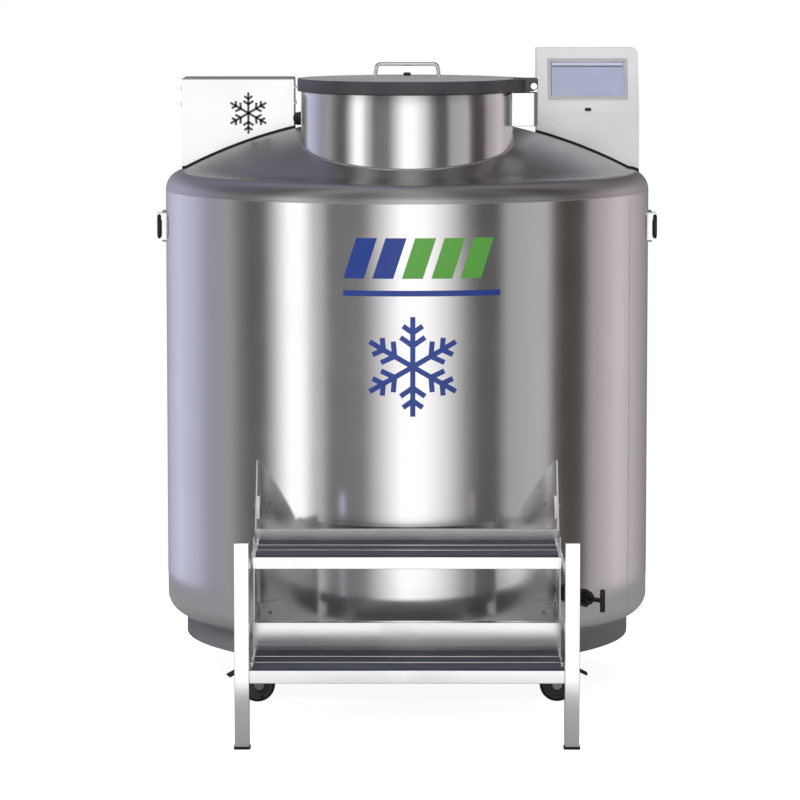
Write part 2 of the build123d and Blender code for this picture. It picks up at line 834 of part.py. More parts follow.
with BuildPart() as display_screen:
    with BuildSketch(slope_plane(screen_above_crease, -screen_recess)):
        Rectangle(screen_width, screen_height)
    extrude(amount=-screen_thickness)
save(display_screen.part, "display_screen")

with BuildPart() as display_bezel:
    with BuildSketch(slope_plane(screen_above_crease, 0)):
        Rectangle(screen_width + 2 * bezel_width, screen_height + 2 * bezel_width)
        Rectangle(screen_width - 2 * bezel_overlap, screen_height - 2 * bezel_overlap, mode=Mode.SUBTRACT)
    extrude(amount=bezel_thickness)
save(display_bezel.part, "display_bezel")

with BuildPart() as data_port:
    with BuildSketch(slope_plane(port_above_crease, bezel_thickness)):
        RectangleRounded(port_width, port_height, port_round)
    extrude(amount=-port_depth)
save(data_port.part, "data_port")

gaskets = Compound(
    children=[
        gasket_ring(plumbing_left, plumbing_width, plumbing_front, plumbing_depth),
        gasket_ring(control_left, control_width, control_front, control_depth),
    ]
)
save(gaskets, "housing_gaskets")


def housing_screws_for(left, width, front, depth, heights):
    """Screw heads on both end faces of a housing, above its gasket."""
    with BuildPart() as heads:
        for face_x, way in ((left, -1), (left + width, 1)):
            for height in heights:
                for y in (front + housing_screw_inset, front + depth - housing_screw_inset):
                    with BuildSketch(Plane(origin=(face_x, y, height), z_dir=(way, 0, 0))):
                        Circle(housing_screw_radius)
                    extrude(amount=housing_screw_height)
        chamfer(heads.edges().filter_by(GeomType.CIRCLE), housing_screw_chamfer)
    return heads.part.solids()


plumbing_screws = housing_screws_for(
    plumbing_left,
    plumbing_width,
    plumbing_front,
    plumbing_depth,
    (fitting_height + housing_screw_raise, plumbing_top - housing_screw_below),
)
control_screws = housing_screws_for(
    control_left,
    control_width,
    control_front + control_lean / 2,
    control_depth - control_lean / 2,
    (control_crease - housing_screw_below,),
)
save(Compound(children=plumbing_screws + control_screws), "housing_screws")

# ---------------------------------------------------------------- pipework

def back_fitting_plane(from_left):
    """Plane on the back of the plumbing box for a fitting that points backwards."""
    return Plane(origin=(plumbing_left + from_left, plumbing_back, fitting_height), z_dir=(0, 1, 0))


with BuildPart() as inlet_fitting:
    with BuildSketch(back_fitting_plane(inlet_from_left)):
        RegularPolygon(inlet_hex / 2, 6, major_radius=False)
    extrude(amount=inlet_hex_height)
    with BuildSketch(inlet_fitting.faces().sort_by(Axis.Y)[-1]):
        Circle(inlet_radius)
    extrude(amount=inlet_length)
save(inlet_fitting.part, "inlet_fitting")

with BuildPart() as relief_valve:
    with BuildSketch(back_fitting_plane(relief_from_left)):
        Circle(relief_radius)
    extrude(amount=relief_length)
    with BuildSketch(relief_valve.faces().sort_by(Axis.Y)[-1]):
        RegularPolygon(relief_cap_hex / 2, 6, major_radius=False)
    extrude(amount=relief_cap_height)
save(relief_valve.part, "relief_valve")

# The conduit runs from the plumbing box up to the collar, aimed at the neck's axis.
conduit_aim = Vector(-conduit_start[0], -neck_forward - conduit_start[1], 0)
conduit_run = conduit_aim.length - neck_radius + 2 * conduit_radius
conduit_way = conduit_aim + Vector(0, 0, conduit_rise * conduit_aim.length / conduit_run)
with BuildPart() as plumbing_conduit:
    with BuildSketch(Plane(origin=conduit_start, z_dir=conduit_way)):
        Circle(conduit_radius)
    extrude(amount=conduit_run)
    split(bisect_by=Plane.YZ.offset(plumbing_left + plumbing_width), keep=Keep.TOP)
    with BuildSketch(Plane.XY.offset(shell_seam)):
        with Locations(neck_spot):
            Circle(neck_radius)
    extrude(amount=neck_top - shell_seam, mode=Mode.SUBTRACT)
save(plumbing_conduit.part, "plumbing_conduit")

sensor_y = control_front + sensor_from_front
sensor_x = control_left - sensor_stand_off
sensor_turn = Vector(sensor_x, sensor_y - sensor_forward - 2 * sensor_bend, sensor_height)
sensor_aim = Vector(-sensor_turn.X, -neck_forward - sensor_turn.Y, 0)
sensor_end = sensor_turn + sensor_aim.normalized() * (sensor_aim.length - neck_radius + sensor_sunk)
with BuildPart() as sensor_conduit:
    with BuildLine() as sensor_path:
        FilletPolyline(
            (control_left, sensor_y, sensor_height),
            (sensor_x, sensor_y, sensor_height),
            tuple(sensor_turn),
            tuple(sensor_end),
            radius=sensor_bend,
        )
    with BuildSketch(Plane(origin=sensor_path.line @ 0, z_dir=sensor_path.line % 0)):
        Circle(sensor_radius)
    sweep()
    with BuildSketch(Plane.XY.offset(shell_seam)):
        with Locations(neck_spot):
            Circle(neck_radius)
    extrude(amount=neck_top - shell_seam, mode=Mode.SUBTRACT)
save(sensor_conduit.part, "sensor_conduit")

with BuildPart() as valve_body:
    with BuildSketch(valve_plane.offset(-valve_flange_depth)):
        Circle(valve_flange_radius)
    extrude(amount=2 * valve_flange_depth)
    with BuildSketch(valve_plane):
        Circle(valve_body_radius)
    extrude(amount=valve_body_depth)
    with BuildSketch(valve_plane.offset(valve_nut_start)):
        RegularPolygon(valve_nut_hex / 2, 6, major_radius=False)
    extrude(amount=valve_nut_height)
    add(envelope(**jacket), mode=Mode.SUBTRACT)
    with BuildSketch(valve_plane.offset(valve_body_depth - valve_stem_sunk - valve_bore_relief)):
        Circle(valve_stem_radius + running_clearance)
    extrude(amount=valve_stem_sunk + valve_bore_relief, mode=Mode.SUBTRACT)
save(valve_body.part, "valve_body")

with BuildPart() as valve_handle:
    with BuildSketch(valve_plane.offset(valve_body_depth - valve_stem_sunk)):
        Circle(valve_stem_radius)
    extrude(amount=valve_stem_sunk + valve_stem_out)
    bar_centre = valve_foot + valve_out * (valve_body_depth + valve_stem_out)
    with BuildSketch(Plane(origin=bar_centre, z_dir=(0, 0, 1))):
        Circle(valve_bar_radius)
    extrude(amount=valve_bar_length / 2, both=True)
    for level in (0, -1):
        fillet(valve_handle.edges().group_by(Axis.Z)[level], valve_bar_round)
save(valve_handle.part, "valve_handle")

vacuum_plane = Plane(origin=(0, shell_radius, vacuum_port_height), z_dir=(0, 1, 0))
with BuildPart() as vacuum_port:
    with BuildSketch(vacuum_plane.offset(-vacuum_port_depth)):
        Circle(vacuum_port_radius)
    extrude(amount=2 * vacuum_port_depth)
    with BuildSketch(vacuum_plane.offset(vacuum_port_depth)):
        Circle(vacuum_cap_radius)
    extrude(amount=vacuum_cap_height)
    fillet(vacuum_port.edges().group_by(Axis.Y)[-1], vacuum_cap_round)
    add(envelope(**jacket), mode=Mode.SUBTRACT)
save(vacuum_port.part, "vacuum_port")

# ---------------------------------------------------------------- lifting rings

ring_x = shell_radius + lift_pad_depth + ring_out


def lifting_pad(side):
    """Pad on the shell with the lug that a ring's straight bar turns in."""
    middle = lift_height + lift_pad_drop - lift_pad_height / 2
    with BuildPart() as pad:
        origin = (side * shell_radius, 0, middle)
        with BuildSketch(Plane(origin=origin, x_dir=(0, 1, 0), z_dir=(side, 0, 0))):
            RectangleRounded(lift_pad_width, lift_pad_height, lift_pad_round)
        extrude(amount=lift_pad_depth)
        extrude(pad.faces().sort_by(Axis.X)[0 if side > 0 else -1], amount=lift_pad_depth)
        with BuildSketch(Plane.XZ):
            with Locations((side * ring_x, lift_height)):
                Circle(lift_lug_height / 2)
            with Locations((side * (ring_x - ring_out / 2), lift_height)):
                Rectangle(ring_out, lift_lug_height)
        extrude(amount=lift_lug_width / 2, both=True)
        add(envelope(**jacket), mode=Mode.SUBTRACT)
        with BuildSketch(Plane.XZ):
            with Locations((side * ring_x, lift_height)):
                Circle(ring_rod + running_clearance)
        extrude(amount=lift_pad_width, both=True, mode=Mode.SUBTRACT)
    return pad.part


def lifting_ring(side):
    """Square-shouldered ring that hangs from its straight top bar."""
    low = lift_height - ring_height
    half = ring_width / 2
    x = side * ring_x
    with BuildPart() as ring:
        with BuildLine() as loop:
            FilletPolyline(
                (x, 0, lift_height),
                (x, half, lift_height),
                (x, half, low),
                (x, -half, low),
                (x, -half, lift_height),
                (x, -ring_joint, lift_height),
                radius=ring_corner,
            )
        with BuildSketch(Plane(origin=loop.line @ 0, z_dir=loop.line % 0)):
            Circle(ring_rod)
        sweep()
        with BuildSketch(Plane.XZ.offset(2 * ring_joint)):
            with Locations((x, lift_height)):
                Circle(ring_rod)
        extrude(amount=-3 * ring_joint)
    return ring.part


save(Compound(children=[lifting_pad(-1), lifting_pad(1)]), "lifting_pads")
save(lifting_ring(-1), "lifting_ring_left")
save(lifting_ring(1), "lifting_ring_right")

# ---------------------------------------------------------------- base ring and casters

caster_spots = {
    "front_left": (-caster_x, -caster_y),
    "front_right": (caster_x, -caster_y),
    "rear_left": (-caster_x, caster_y),
    "rear_right": (caster_x, caster_y),
}
boss_bottom = base_bottom - caster_plate_thickness - caster_boss_height

with BuildPart() as base_ring:
    with BuildSketch(Plane.XY.offset(base_bottom)):
        Circle(base_radius)
        Circle(base_plate_opening, mode=Mode.SUBTRACT)
    extrude(amount=base_plate_thickness)
    with BuildSketch(Plane.XY.offset(base_bottom)):
        Circle(base_radius)
        Circle(base_radius - base_wall, mode=Mode.SUBTRACT)
    extrude(amount=shell_bottom - base_bottom)
save(base_ring.part, "base_ring")

with BuildPart() as caster_plates:
    with BuildSketch(Plane.XY.offset(base_bottom - caster_plate_thickness)):
        with Locations(*caster_spots.values()):
            Circle(caster_plate_radius)
    extrude(amount=caster_plate_thickness)
    with BuildSketch(Plane.XY.offset(boss_bottom)):
        with Locations(*caster_spots.values()):
            Circle(caster_boss_radius)
    extrude(amount=caster_boss_height)
    with BuildSketch(Plane.XY.offset(boss_bottom)):
        with Locations(*caster_spots.values()):
            Circle(kingpin_radius + running_clearance)
    extrude(amount=kingpin_length + thrust_clearance, mode=Mode.SUBTRACT)
save(caster_plates.part, "caster_plates")


def caster_plane(name):
    """Side view of a caster: x runs along its trail, y is up, and the normal is along its axle."""
    turn = math.radians(caster_turns[name])
    return Plane(
        origin=(*caster_spots[name], 0),
        x_dir=(math.cos(turn), math.sin(turn), 0),
        z_dir=(math.sin(turn), -math.cos(turn), 0),
    )


def caster_fork(name):
    """Fork with its kingpin, its axle bolt and, on a braked caster, the pedal's pin."""
    side = caster_plane(name)
    pedal_x = caster_trail + pedal_pivot_ahead
    braked = name in braked_casters
    top = fork_top
    with BuildPart() as fork:
        with BuildSketch(Plane.XY.offset(top - fork_crown_thickness)):
            with Locations(caster_spots[name]):
                Circle(fork_crown_radius)
        extrude(amount=fork_crown_thickness)
        with BuildSketch(Plane.XY.offset(top)):
            with Locations(caster_spots[name]):
                Circle(kingpin_radius)
        extrude(amount=kingpin_length)
        for way in (-1, 1):
            with BuildSketch(side.offset(way * (fork_inner + fork_cheek / 2))):
                Polygon(
                    (-crown_cheek_share * fork_crown_radius, top),
                    (crown_cheek_share * fork_crown_radius, top),
                    (pedal_x, pedal_pivot_height + pedal_barrel_radius / 2),
                    (caster_trail + axle_head_radius, wheel_radius),
                    (caster_trail - axle_head_radius, wheel_radius),
                    align=None,
                )
                with Locations((caster_trail, wheel_radius)):
                    Circle(axle_head_radius + axle_eye)
                with Locations((pedal_x, pedal_pivot_height)):
                    Circle(pedal_barrel_radius)
                with Locations((caster_trail, wheel_radius)):
                    Circle(axle_radius, mode=Mode.SUBTRACT)
                if braked:
                    with Locations((pedal_x, pedal_pivot_height)):
                        Circle(pedal_pin_radius, mode=Mode.SUBTRACT)
            extrude(amount=fork_cheek / 2, both=True)
    with BuildPart() as axle:
        with BuildSketch(side):
            with Locations((caster_trail, wheel_radius)):
                Circle(axle_radius)
        extrude(amount=fork_inner + fork_cheek, both=True)
        for way in (-1, 1):
            with BuildSketch(side.offset(way * (fork_inner + fork_cheek + axle_head_height / 2))):
                with Locations((caster_trail, wheel_radius)):
                    RegularPolygon(axle_head_radius, 6)
            extrude(amount=axle_head_height / 2, both=True)
    pieces = [fork.part, axle.part]
    if braked:
        with BuildPart() as pin:
            with BuildSketch(side):
                with Locations((pedal_x, pedal_pivot_height)):
                    Circle(pedal_pin_radius)
            extrude(amount=fork_inner + fork_cheek + pedal_pin_overhang, both=True)
        pieces.append(pin.part)
    return Compound(children=pieces)


def caster_wheel(name):
    """Solid wheel with a rounded tread and dished sides."""
    side = caster_plane(name)
    with BuildPart() as wheel:
        with BuildSketch(side):
            with Locations((caster_trail, wheel_radius)):
                Circle(wheel_radius)
        extrude(amount=wheel_width / 2, both=True)
        fillet(wheel.edges().filter_by(GeomType.CIRCLE), wheel_edge_round)
        for way in (-1, 1):
            with BuildSketch(side.offset(way * wheel_width / 2)):
                with Locations((caster_trail, wheel_radius)):
                    Circle(wheel_dish_radius)
                    Circle(wheel_hub_radius, mode=Mode.SUBTRACT)
            extrude(amount=-way * wheel_dish_depth, mode=Mode.SUBTRACT)
        with BuildSketch(side):
            with Locations((caster_trail, wheel_radius)):
                Circle(axle_radius + running_clearance)
        extrude(amount=wheel_width, both=True, mode=Mode.SUBTRACT)
    return wheel.part


def brake_pedal(name):
    """Lever over the wheel, on a pin between the fork's cheeks."""
    side = caster_plane(name)
    pedal_x = caster_trail + pedal_pivot_ahead
    slope = math.radians(pedal_slope)
    middle = (
        pedal_x + pedal_length / 2 * math.cos(slope),
        pedal_pivot_height - pedal_length / 2 * math.sin(slope),
    )
    with BuildPart() as pedal:
        with BuildSketch(side):
            with Locations((pedal_x, pedal_pivot_height)):
                Circle(pedal_barrel_radius)
            with Locations(middle):
                Rectangle(pedal_length, pedal_thickness, rotation=-pedal_slope)
            with Locations((pedal_x, pedal_pivot_height)):
                Circle(pedal_pin_radius + running_clearance, mode=Mode.SUBTRACT)
        extrude(amount=fork_inner - pedal_side_gap, both=True)
    return pedal.part


for caster in caster_spots:
    save(caster_fork(caster), f"caster_fork_{caster}")
    save(caster_wheel(caster), f"caster_wheel_{caster}")
for caster in braked_casters:
    save(brake_pedal(caster), f"brake_pedal_{caster}")

# ---------------------------------------------------------------- ladder

rail_tops = (upper_tread_top, lower_tread_top)
rail_rear = plate_front - rail_overlap


def slab(front, rear, low, high):
    """Rectangle in a side view, from its front and rear (distances ahead of the axis) and heights."""
    with Locations((-(front + rear) / 2, (low + high) / 2)):
        Rectangle(front - rear, high - low)


with BuildPart() as step_legs:
    with BuildSketch(Plane.XY.offset(pad_height)):
        with GridLocations(2 * leg_centre_x, 1, 2, 1):
            Rectangle(leg_size, leg_size)
            Rectangle(leg_size - 2 * leg_wall, leg_size - 2 * leg_wall, mode=Mode.SUBTRACT)
    extrude(amount=leg_top - pad_height - leg_wall)
    with BuildSketch(Plane.XY.offset(leg_top - leg_wall)):
        with GridLocations(2 * leg_centre_x, 1, 2, 1):
            Rectangle(leg_size, leg_size)
    extrude(amount=leg_wall)
save(Pos(0, leg_centre_y, 0) * step_legs.part, "step_legs")

with BuildPart() as leg_pads:
    with BuildSketch(Plane.XY):
        with GridLocations(2 * leg_centre_x, 1, 2, 1):
            RectangleRounded(pad_size, pad_size, pad_round)
    extrude(amount=pad_height)
save(Pos(0, leg_centre_y, 0) * leg_pads.part, "leg_pads")


def bolt_places():
    """Side-view places of the bolts: two in each rail's overlap, and one in each tab."""
    places = [
        (-(plate_front - step), top - rail_height / 2)
        for top in rail_tops
        for step in (rail_overlap / 4, 3 * rail_overlap / 4)
    ]
    return places + [(-(plate_rear + tab_width / 2), level) for level in tab_levels]


with BuildPart() as side_plates:
    for side in (-1, 1):
        with BuildSketch(Plane.YZ.offset(side * (leg_inner - plate_thickness / 2))):
            Polygon(
                (-plate_front, plate_bottom),
                (-plate_rear, plate_bottom),
                (-plate_rear, plate_peak),
                (-plate_bend, plate_top),
                (-plate_front, plate_top),
                align=None,
            )
            with Locations(*bolt_places()):
                Circle(bolt_radius, mode=Mode.SUBTRACT)
        extrude(amount=plate_thickness / 2, both=True)
save(side_plates.part, "side_plates")

with BuildPart() as side_rails:
    for side in (-1, 1):
        with BuildSketch(Plane.YZ.offset(side * (leg_inner + rail_thickness / 2))):
            for top in rail_tops:
                slab(leg_front - leg_size, rail_rear, top - rail_height, top)
            with Locations(*bolt_places()):
                Circle(bolt_radius, mode=Mode.SUBTRACT)
        extrude(amount=rail_thickness / 2, both=True)
save(side_rails.part, "side_rails")

# Angle tabs on the shell carry the side plates' rear edges.
with BuildPart() as step_tabs:
    for side in (-1, 1):
        inner = leg_inner - plate_thickness - tab_thickness
        with BuildSketch(Plane.YZ.offset(side * (inner + tab_thickness / 2))):
            for level in tab_levels:
                low, high = level - tab_height / 2, level + tab_height / 2
                slab(plate_rear + tab_width, plate_rear - tab_sunk, low, high)
            with Locations(*bolt_places()):
                Circle(bolt_radius, mode=Mode.SUBTRACT)
        extrude(amount=tab_thickness / 2, both=True)
    add(envelope(**jacket), mode=Mode.SUBTRACT)
save(step_tabs.part, "step_tabs")

with BuildPart() as step_bolts:
    for side in (-1, 1):
        for place in bolt_places():
            in_rail = place[0] < -plate_rear - tab_width
            outer = leg_inner + (rail_thickness if in_rail else 0)
            inner = leg_inner - plate_thickness - (0 if in_rail else tab_thickness)
            with BuildSketch(Plane.YZ.offset(side * inner)):
                with Locations(place):
                    Circle(bolt_radius)
            extrude(amount=side * (outer - inner))
            with BuildSketch(Plane.YZ.offset(side * outer)):
                with Locations(place):
                    RegularPolygon(bolt_head, 6)
            extrude(amount=side * bolt_head_height)
save(step_bolts.part, "step_bolts")


def strip_depth(depth):
    """Depth of one grip strip when ribs part the strips."""
    return (depth - 2 * strip_margin - (strip_count - 1) * rib_width) / strip_count


def tread_profile(front, depth, top, fascia):
    """Folded tread in a side view: fascia, deck and the ribs that part its grip strips."""
    slab(front, front - tread_wall, top - fascia, top)
    slab(front, front - depth, top - tread_wall, top)
    for number in range(1, strip_count):
        start = front - strip_margin - number * strip_depth(depth) - (number - 1) * rib_width
        slab(start, start - rib_width, top - tread_wall, top + rib_height)


with BuildPart() as upper_tread:
    rear = upper_tread_front - upper_tread_depth
    with BuildSketch(Plane.YZ):
        tread_profile(upper_tread_front, upper_tread_depth, upper_tread_top, upper_fascia)
        slab(rear + tread_wall, rear, upper_tread_top - tread_wall, upper_tread_top + upper_back_lip)
    extrude(amount=tread_half_width, both=True)
save(upper_tread.part, "upper_tread")

with BuildPart() as lower_tread:
    rear = lower_tread_front - lower_tread_depth
    with BuildSketch(Plane.YZ):
        tread_profile(lower_tread_front, lower_tread_depth, lower_tread_top, lower_fascia)
        slab(rear + tread_wall, rear, lower_tread_top - tread_wall, lower_tread_top + lower_riser)
        riser_top = lower_tread_top + lower_riser
        slab(rear + tread_wall, rear - lower_bar_depth, riser_top, riser_top + lower_bar_height)
    extrude(amount=leg_inner, both=True)
save(lower_tread.part, "lower_tread")

with BuildPart() as grip_strips:
    for front, depth, top, half in (
        (upper_tread_front, upper_tread_depth, upper_tread_top, tread_half_width),
        (lower_tread_front, lower_tread_depth, lower_tread_top, leg_inner),
    ):
        with BuildSketch(Plane.YZ):
            for number in range(strip_count):
                start = front - strip_margin - number * (strip_depth(depth) + rib_width)
                slab(start, start - strip_depth(depth), top, top + strip_height)
        extrude(amount=half - strip_margin, both=True)
save(grip_strips.part, "grip_strips")
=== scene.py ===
import json
import math

import bmesh
import bpy
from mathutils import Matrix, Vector

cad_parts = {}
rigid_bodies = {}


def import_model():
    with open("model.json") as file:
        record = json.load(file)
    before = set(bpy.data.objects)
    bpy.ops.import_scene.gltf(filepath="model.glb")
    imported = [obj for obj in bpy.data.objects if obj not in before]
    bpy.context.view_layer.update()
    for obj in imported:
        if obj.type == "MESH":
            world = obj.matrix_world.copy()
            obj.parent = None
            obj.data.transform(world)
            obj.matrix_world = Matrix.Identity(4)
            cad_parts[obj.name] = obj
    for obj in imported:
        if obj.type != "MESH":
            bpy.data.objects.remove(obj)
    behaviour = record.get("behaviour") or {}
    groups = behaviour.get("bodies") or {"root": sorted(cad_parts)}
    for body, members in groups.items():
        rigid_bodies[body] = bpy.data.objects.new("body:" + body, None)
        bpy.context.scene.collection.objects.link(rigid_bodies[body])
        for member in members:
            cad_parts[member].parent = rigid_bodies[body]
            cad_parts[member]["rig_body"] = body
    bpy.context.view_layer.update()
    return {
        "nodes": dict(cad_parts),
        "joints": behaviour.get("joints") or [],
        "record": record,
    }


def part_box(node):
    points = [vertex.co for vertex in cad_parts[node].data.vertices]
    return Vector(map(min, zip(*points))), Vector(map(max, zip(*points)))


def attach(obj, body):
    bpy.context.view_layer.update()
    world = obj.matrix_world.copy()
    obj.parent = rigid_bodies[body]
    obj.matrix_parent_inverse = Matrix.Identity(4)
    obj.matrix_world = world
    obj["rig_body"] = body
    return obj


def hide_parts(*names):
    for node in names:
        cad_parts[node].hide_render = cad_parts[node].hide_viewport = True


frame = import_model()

# ---------- sizes, in metres

SHELL_R = 0.5335
SHELL_WALL = 0.003
SHELL_BOTTOM = 0.150
SHELL_SEAM = 1.087
KNUCKLE = 0.042
CROWN = 1.067
NECK_Y = -0.215
NECK_R = 0.229
NECK_WALL = 0.002
BORE_R = 0.200
NECK_WAIST = 1.25
NECK_EDGE = 0.003
NECK_EDGE_CHAMFER = 0.001
TURNS = 256
JOIN_WITHIN = 2e-6
# Weld beads: spacing along the bead, half width and rise.
NECK_BEAD = (0.0035, 0.0032, 0.0022)
BASE_BEAD = (0.0045, 0.0028, 0.0018)
SEAM_BEAD = (0.0040, 0.0016, 0.00035)
BASE_BEAD_DROP = 0.0005
SIDE_WELD_ANGLE = -25.5
SIDE_WELD_STEP = 0.02
SIDE_WELD_POINTS = 45
# Marks on the shell: places are (distance round from the front, height).
MARK_LIFT = 0.0004
FROST_CENTRE = (0.012, 0.745)
FROST_SIZE = 0.105
FROST_BAR = 0.011
BOX_FROST_CENTRE = (-0.352, 1.252)
BOX_FROST_SIZE = 0.046
BOX_FROST_BAR = 0.0052
BOX_FROST_LIFT = 0.0002
# Pairs of twigs on a frost sign's arm: share of the arm at their root, and their length in arms.
TWIGS = ((0.42, 0.30), (0.68, 0.24))
TWIG_ANGLE = 55
SLANT_LEFT = -0.135
SLANT_PITCH = 0.062
SLANT_WIDTH = 0.044
SLANT_LEAN = 0.028
SLANT_HEIGHTS = (0.93, 1.015)
LINE_LENGTH = 0.335
LINE_HEIGHTS = (0.893, 0.905)
# Lid cover.
COVER_RISE = 0.0055
COVER_EDGE = 0.0012
# Display: how far the face leans back over its height, and the raised panels on it.
FACE_LEAN = (0.072, 0.146)
SCREEN_HALF_THICK = 0.0015
PANEL_LIFT = 0.0003
SCREW_HEAD_R = 0.004
# Corrugated conduit between the plumbing box and the neck.
CONDUIT_START = Vector((-0.250, 0.052 - 0.010 * 267 / 260, 1.238))
CONDUIT_AIM = Vector((0.26, -0.267, 0.0))
CONDUIT_RUN = 0.140
CONDUIT_LENGTH = 0.160
CONDUIT_THICK = 0.026
RING_SPACING = 0.0055
RING_R = 0.0128
RING_BEAD = 0.0016
WHEEL_CENTRE_R = 0.0262

SLOT_OF = {row["node"]: row["material_slot"] for row in frame["record"]["subparts"]}
BODY_OF = {node: obj["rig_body"] for node, obj in frame["nodes"].items()}
Z_AXIS = Vector((0, 0, 1))


def grey(value):
    """Linear light for a display grey from 0 to 1."""
    return ((value + 0.055) / 1.055) ** 2.4 if value > 0.04 else value / 12.92


def tint(r, g, b):
    """Linear colour, with alpha, for a display colour given in steps of 0 to 255."""
    return tuple(grey(c / 255) for c in (r, g, b)) + (1.0,)


# ---------- camera

CAMERA_AWAY = 9.0
CAMERA_HEIGHT = 1.634
CAMERA_TILT = 6.46
CAMERA_TURN = 0.10
camera_data = bpy.data.cameras.new("camera")
camera_data.lens = 182.9
camera_data.sensor_width = 36.0
camera_data.clip_end = 60.0
camera = bpy.data.objects.new("camera", camera_data)
camera.location = (0, -CAMERA_AWAY, CAMERA_HEIGHT)
camera.rotation_euler = (math.radians(90 - CAMERA_TILT), 0, math.radians(CAMERA_TURN))
bpy.context.scene.collection.objects.link(camera)
bpy.context.scene.camera = camera
bpy.context.scene.view_settings.view_transform = "Standard"


# ---------- node-tree helpers

def link(tree, source, target):
    tree.links.new(source, target)


def node(tree, kind, **settings):
    """A new node with its settings; a key that starts with in_ sets the input of that number."""
    made = tree.nodes.new(kind)
    for key, value in settings.items():
        if key.startswith("in_"):
            made.inputs[int(key[3:])].default_value = value
        else:
            setattr(made, key, value)
    return made


def fill(made, **values):
    """Sets inputs by name, with underscores for the spaces in the names."""
    for label, value in values.items():
        made.inputs[label.replace("_", " ")].default_value = value


def ramp(tree, stops):
    """A colour ramp from (position, colour) stops."""
    made = tree.nodes.new("ShaderNodeValToRGB")
    elements = made.color_ramp.elements
    while len(elements) > 1:
        elements.remove(elements[-1])
    elements[0].position, elements[0].color = stops[0]
    for position, colour in stops[1:]:
        elements.new(position).color = colour
    return made


def group_tree(name, inputs, outputs):
    """An empty shader node group with named float or colour sockets."""
    tree = bpy.data.node_groups.new(name, "ShaderNodeTree")
    for label, kind, value in inputs:
        socket = tree.interface.new_socket(label, in_out="INPUT", socket_type=kind)
        socket.default_value = value
    for label, kind in outputs:
        tree.interface.new_socket(label, in_out="OUTPUT", socket_type=kind)
    start = tree.nodes.new("NodeGroupInput")
    end = tree.nodes.new("NodeGroupOutput")
    return tree, start, end


def noise(tree, place, scale, **values):
    """The value of a noise texture at a place and scale."""
    made = node(tree, "ShaderNodeTexNoise")
    fill(made, **values)
    link(tree, place, made.inputs["Vector"])
    link(tree, scale, made.inputs["Scale"])
    return made.outputs["Fac"]


# ---------- shared surface effects

def make_grain_group():
    """Fine brushed lines: a height and a gently varying value, stretched along one axis."""
    tree, start, end = group_tree(
        "brushed_grain",
        [
            ("Stretch", "NodeSocketVector", (1, 1, 1)),
            ("Scale", "NodeSocketFloat", 900.0),
            ("Broad Scale", "NodeSocketFloat", 6.0),
        ],
        [("Height", "NodeSocketFloat"), ("Variation", "NodeSocketFloat")],
    )
    place = node(tree, "ShaderNodeTexCoord")
    stretch = node(tree, "ShaderNodeVectorMath", operation="MULTIPLY")
    link(tree, place.outputs["Object"], stretch.inputs[0])
    link(tree, start.outputs["Stretch"], stretch.inputs[1])
    fine = noise(tree, stretch.outputs[0], start.outputs["Scale"], Detail=3.0)
    broad = noise(tree, stretch.outputs[0], start.outputs["Broad Scale"], Detail=4.0)
    link(tree, fine, end.inputs["Height"])
    link(tree, broad, end.inputs["Variation"])
    return tree


def make_handling_group():
    """Handling marks: a mask of smears and specks, for roughness and a slight darkening."""
    tree, start, end = group_tree(
        "handling_marks",
        [("Scale", "NodeSocketFloat", 5.0), ("Amount", "NodeSocketFloat", 0.3)],
        [("Mask", "NodeSocketFloat"), ("Specks", "NodeSocketFloat")],
    )
    place = node(tree, "ShaderNodeTexCoord")
    smear = noise(
        tree, place.outputs["Object"], start.outputs["Scale"], Detail=6.0, Distortion=0.8
    )
    shaped = node(tree, "ShaderNodeMapRange")
    fill(shaped, From_Min=0.45, From_Max=0.75)
    link(tree, smear, shaped.inputs["Value"])
    amount = node(tree, "ShaderNodeMath", operation="MULTIPLY")
    link(tree, shaped.outputs["Result"], amount.inputs[0])
    link(tree, start.outputs["Amount"], amount.inputs[1])
    speck = node(tree, "ShaderNodeTexVoronoi")
    fill(speck, Scale=260.0)
    link(tree, place.outputs["Object"], speck.inputs["Vector"])
    dots = node(tree, "ShaderNodeMapRange")
    fill(dots, From_Min=0.10, From_Max=0.04)
    link(tree, speck.outputs["Distance"], dots.inputs["Value"])
    link(tree, amount.outputs[0], end.inputs["Mask"])
    link(tree, dots.outputs["Result"], end.inputs["Specks"])
    return tree


def make_moulding_group():
    """Fine moulded or cast skin: a height from small cells and soft waves."""
    tree, start, end = group_tree(
        "moulded_skin",
        [("Scale", "NodeSocketFloat", 700.0), ("Wave Scale", "NodeSocketFloat", 12.0)],
        [("Height", "NodeSocketFloat"), ("Variation", "NodeSocketFloat")],
    )
    place = node(tree, "ShaderNodeTexCoord")
    cells = node(tree, "ShaderNodeTexVoronoi")
    link(tree, place.outputs["Object"], cells.inputs["Vector"])
    link(tree, start.outputs["Scale"], cells.inputs["Scale"])
    waves = noise(tree, place.outputs["Object"], start.outputs["Wave Scale"], Detail=3.0)
    link(tree, cells.outputs["Distance"], end.inputs["Height"])
    link(tree, waves, end.inputs["Variation"])
    return tree


GRAIN = make_grain_group()
HANDLING = make_handling_group()
MOULDING = make_moulding_group()


def material_start(name, base, metallic, roughness):
    material = bpy.data.materials.new(name)
    material.use_nodes = True
    tree = material.node_tree
    shader = tree.nodes["Principled BSDF"]
    fill(shader, Base_Color=base, Metallic=metallic, Roughness=roughness)
    material.diffuse_color = base
    return material, tree, shader


def use_group(tree, group, **values):
    made = tree.nodes.new("ShaderNodeGroup")
    made.node_tree = group
    fill(made, **values)
    return made


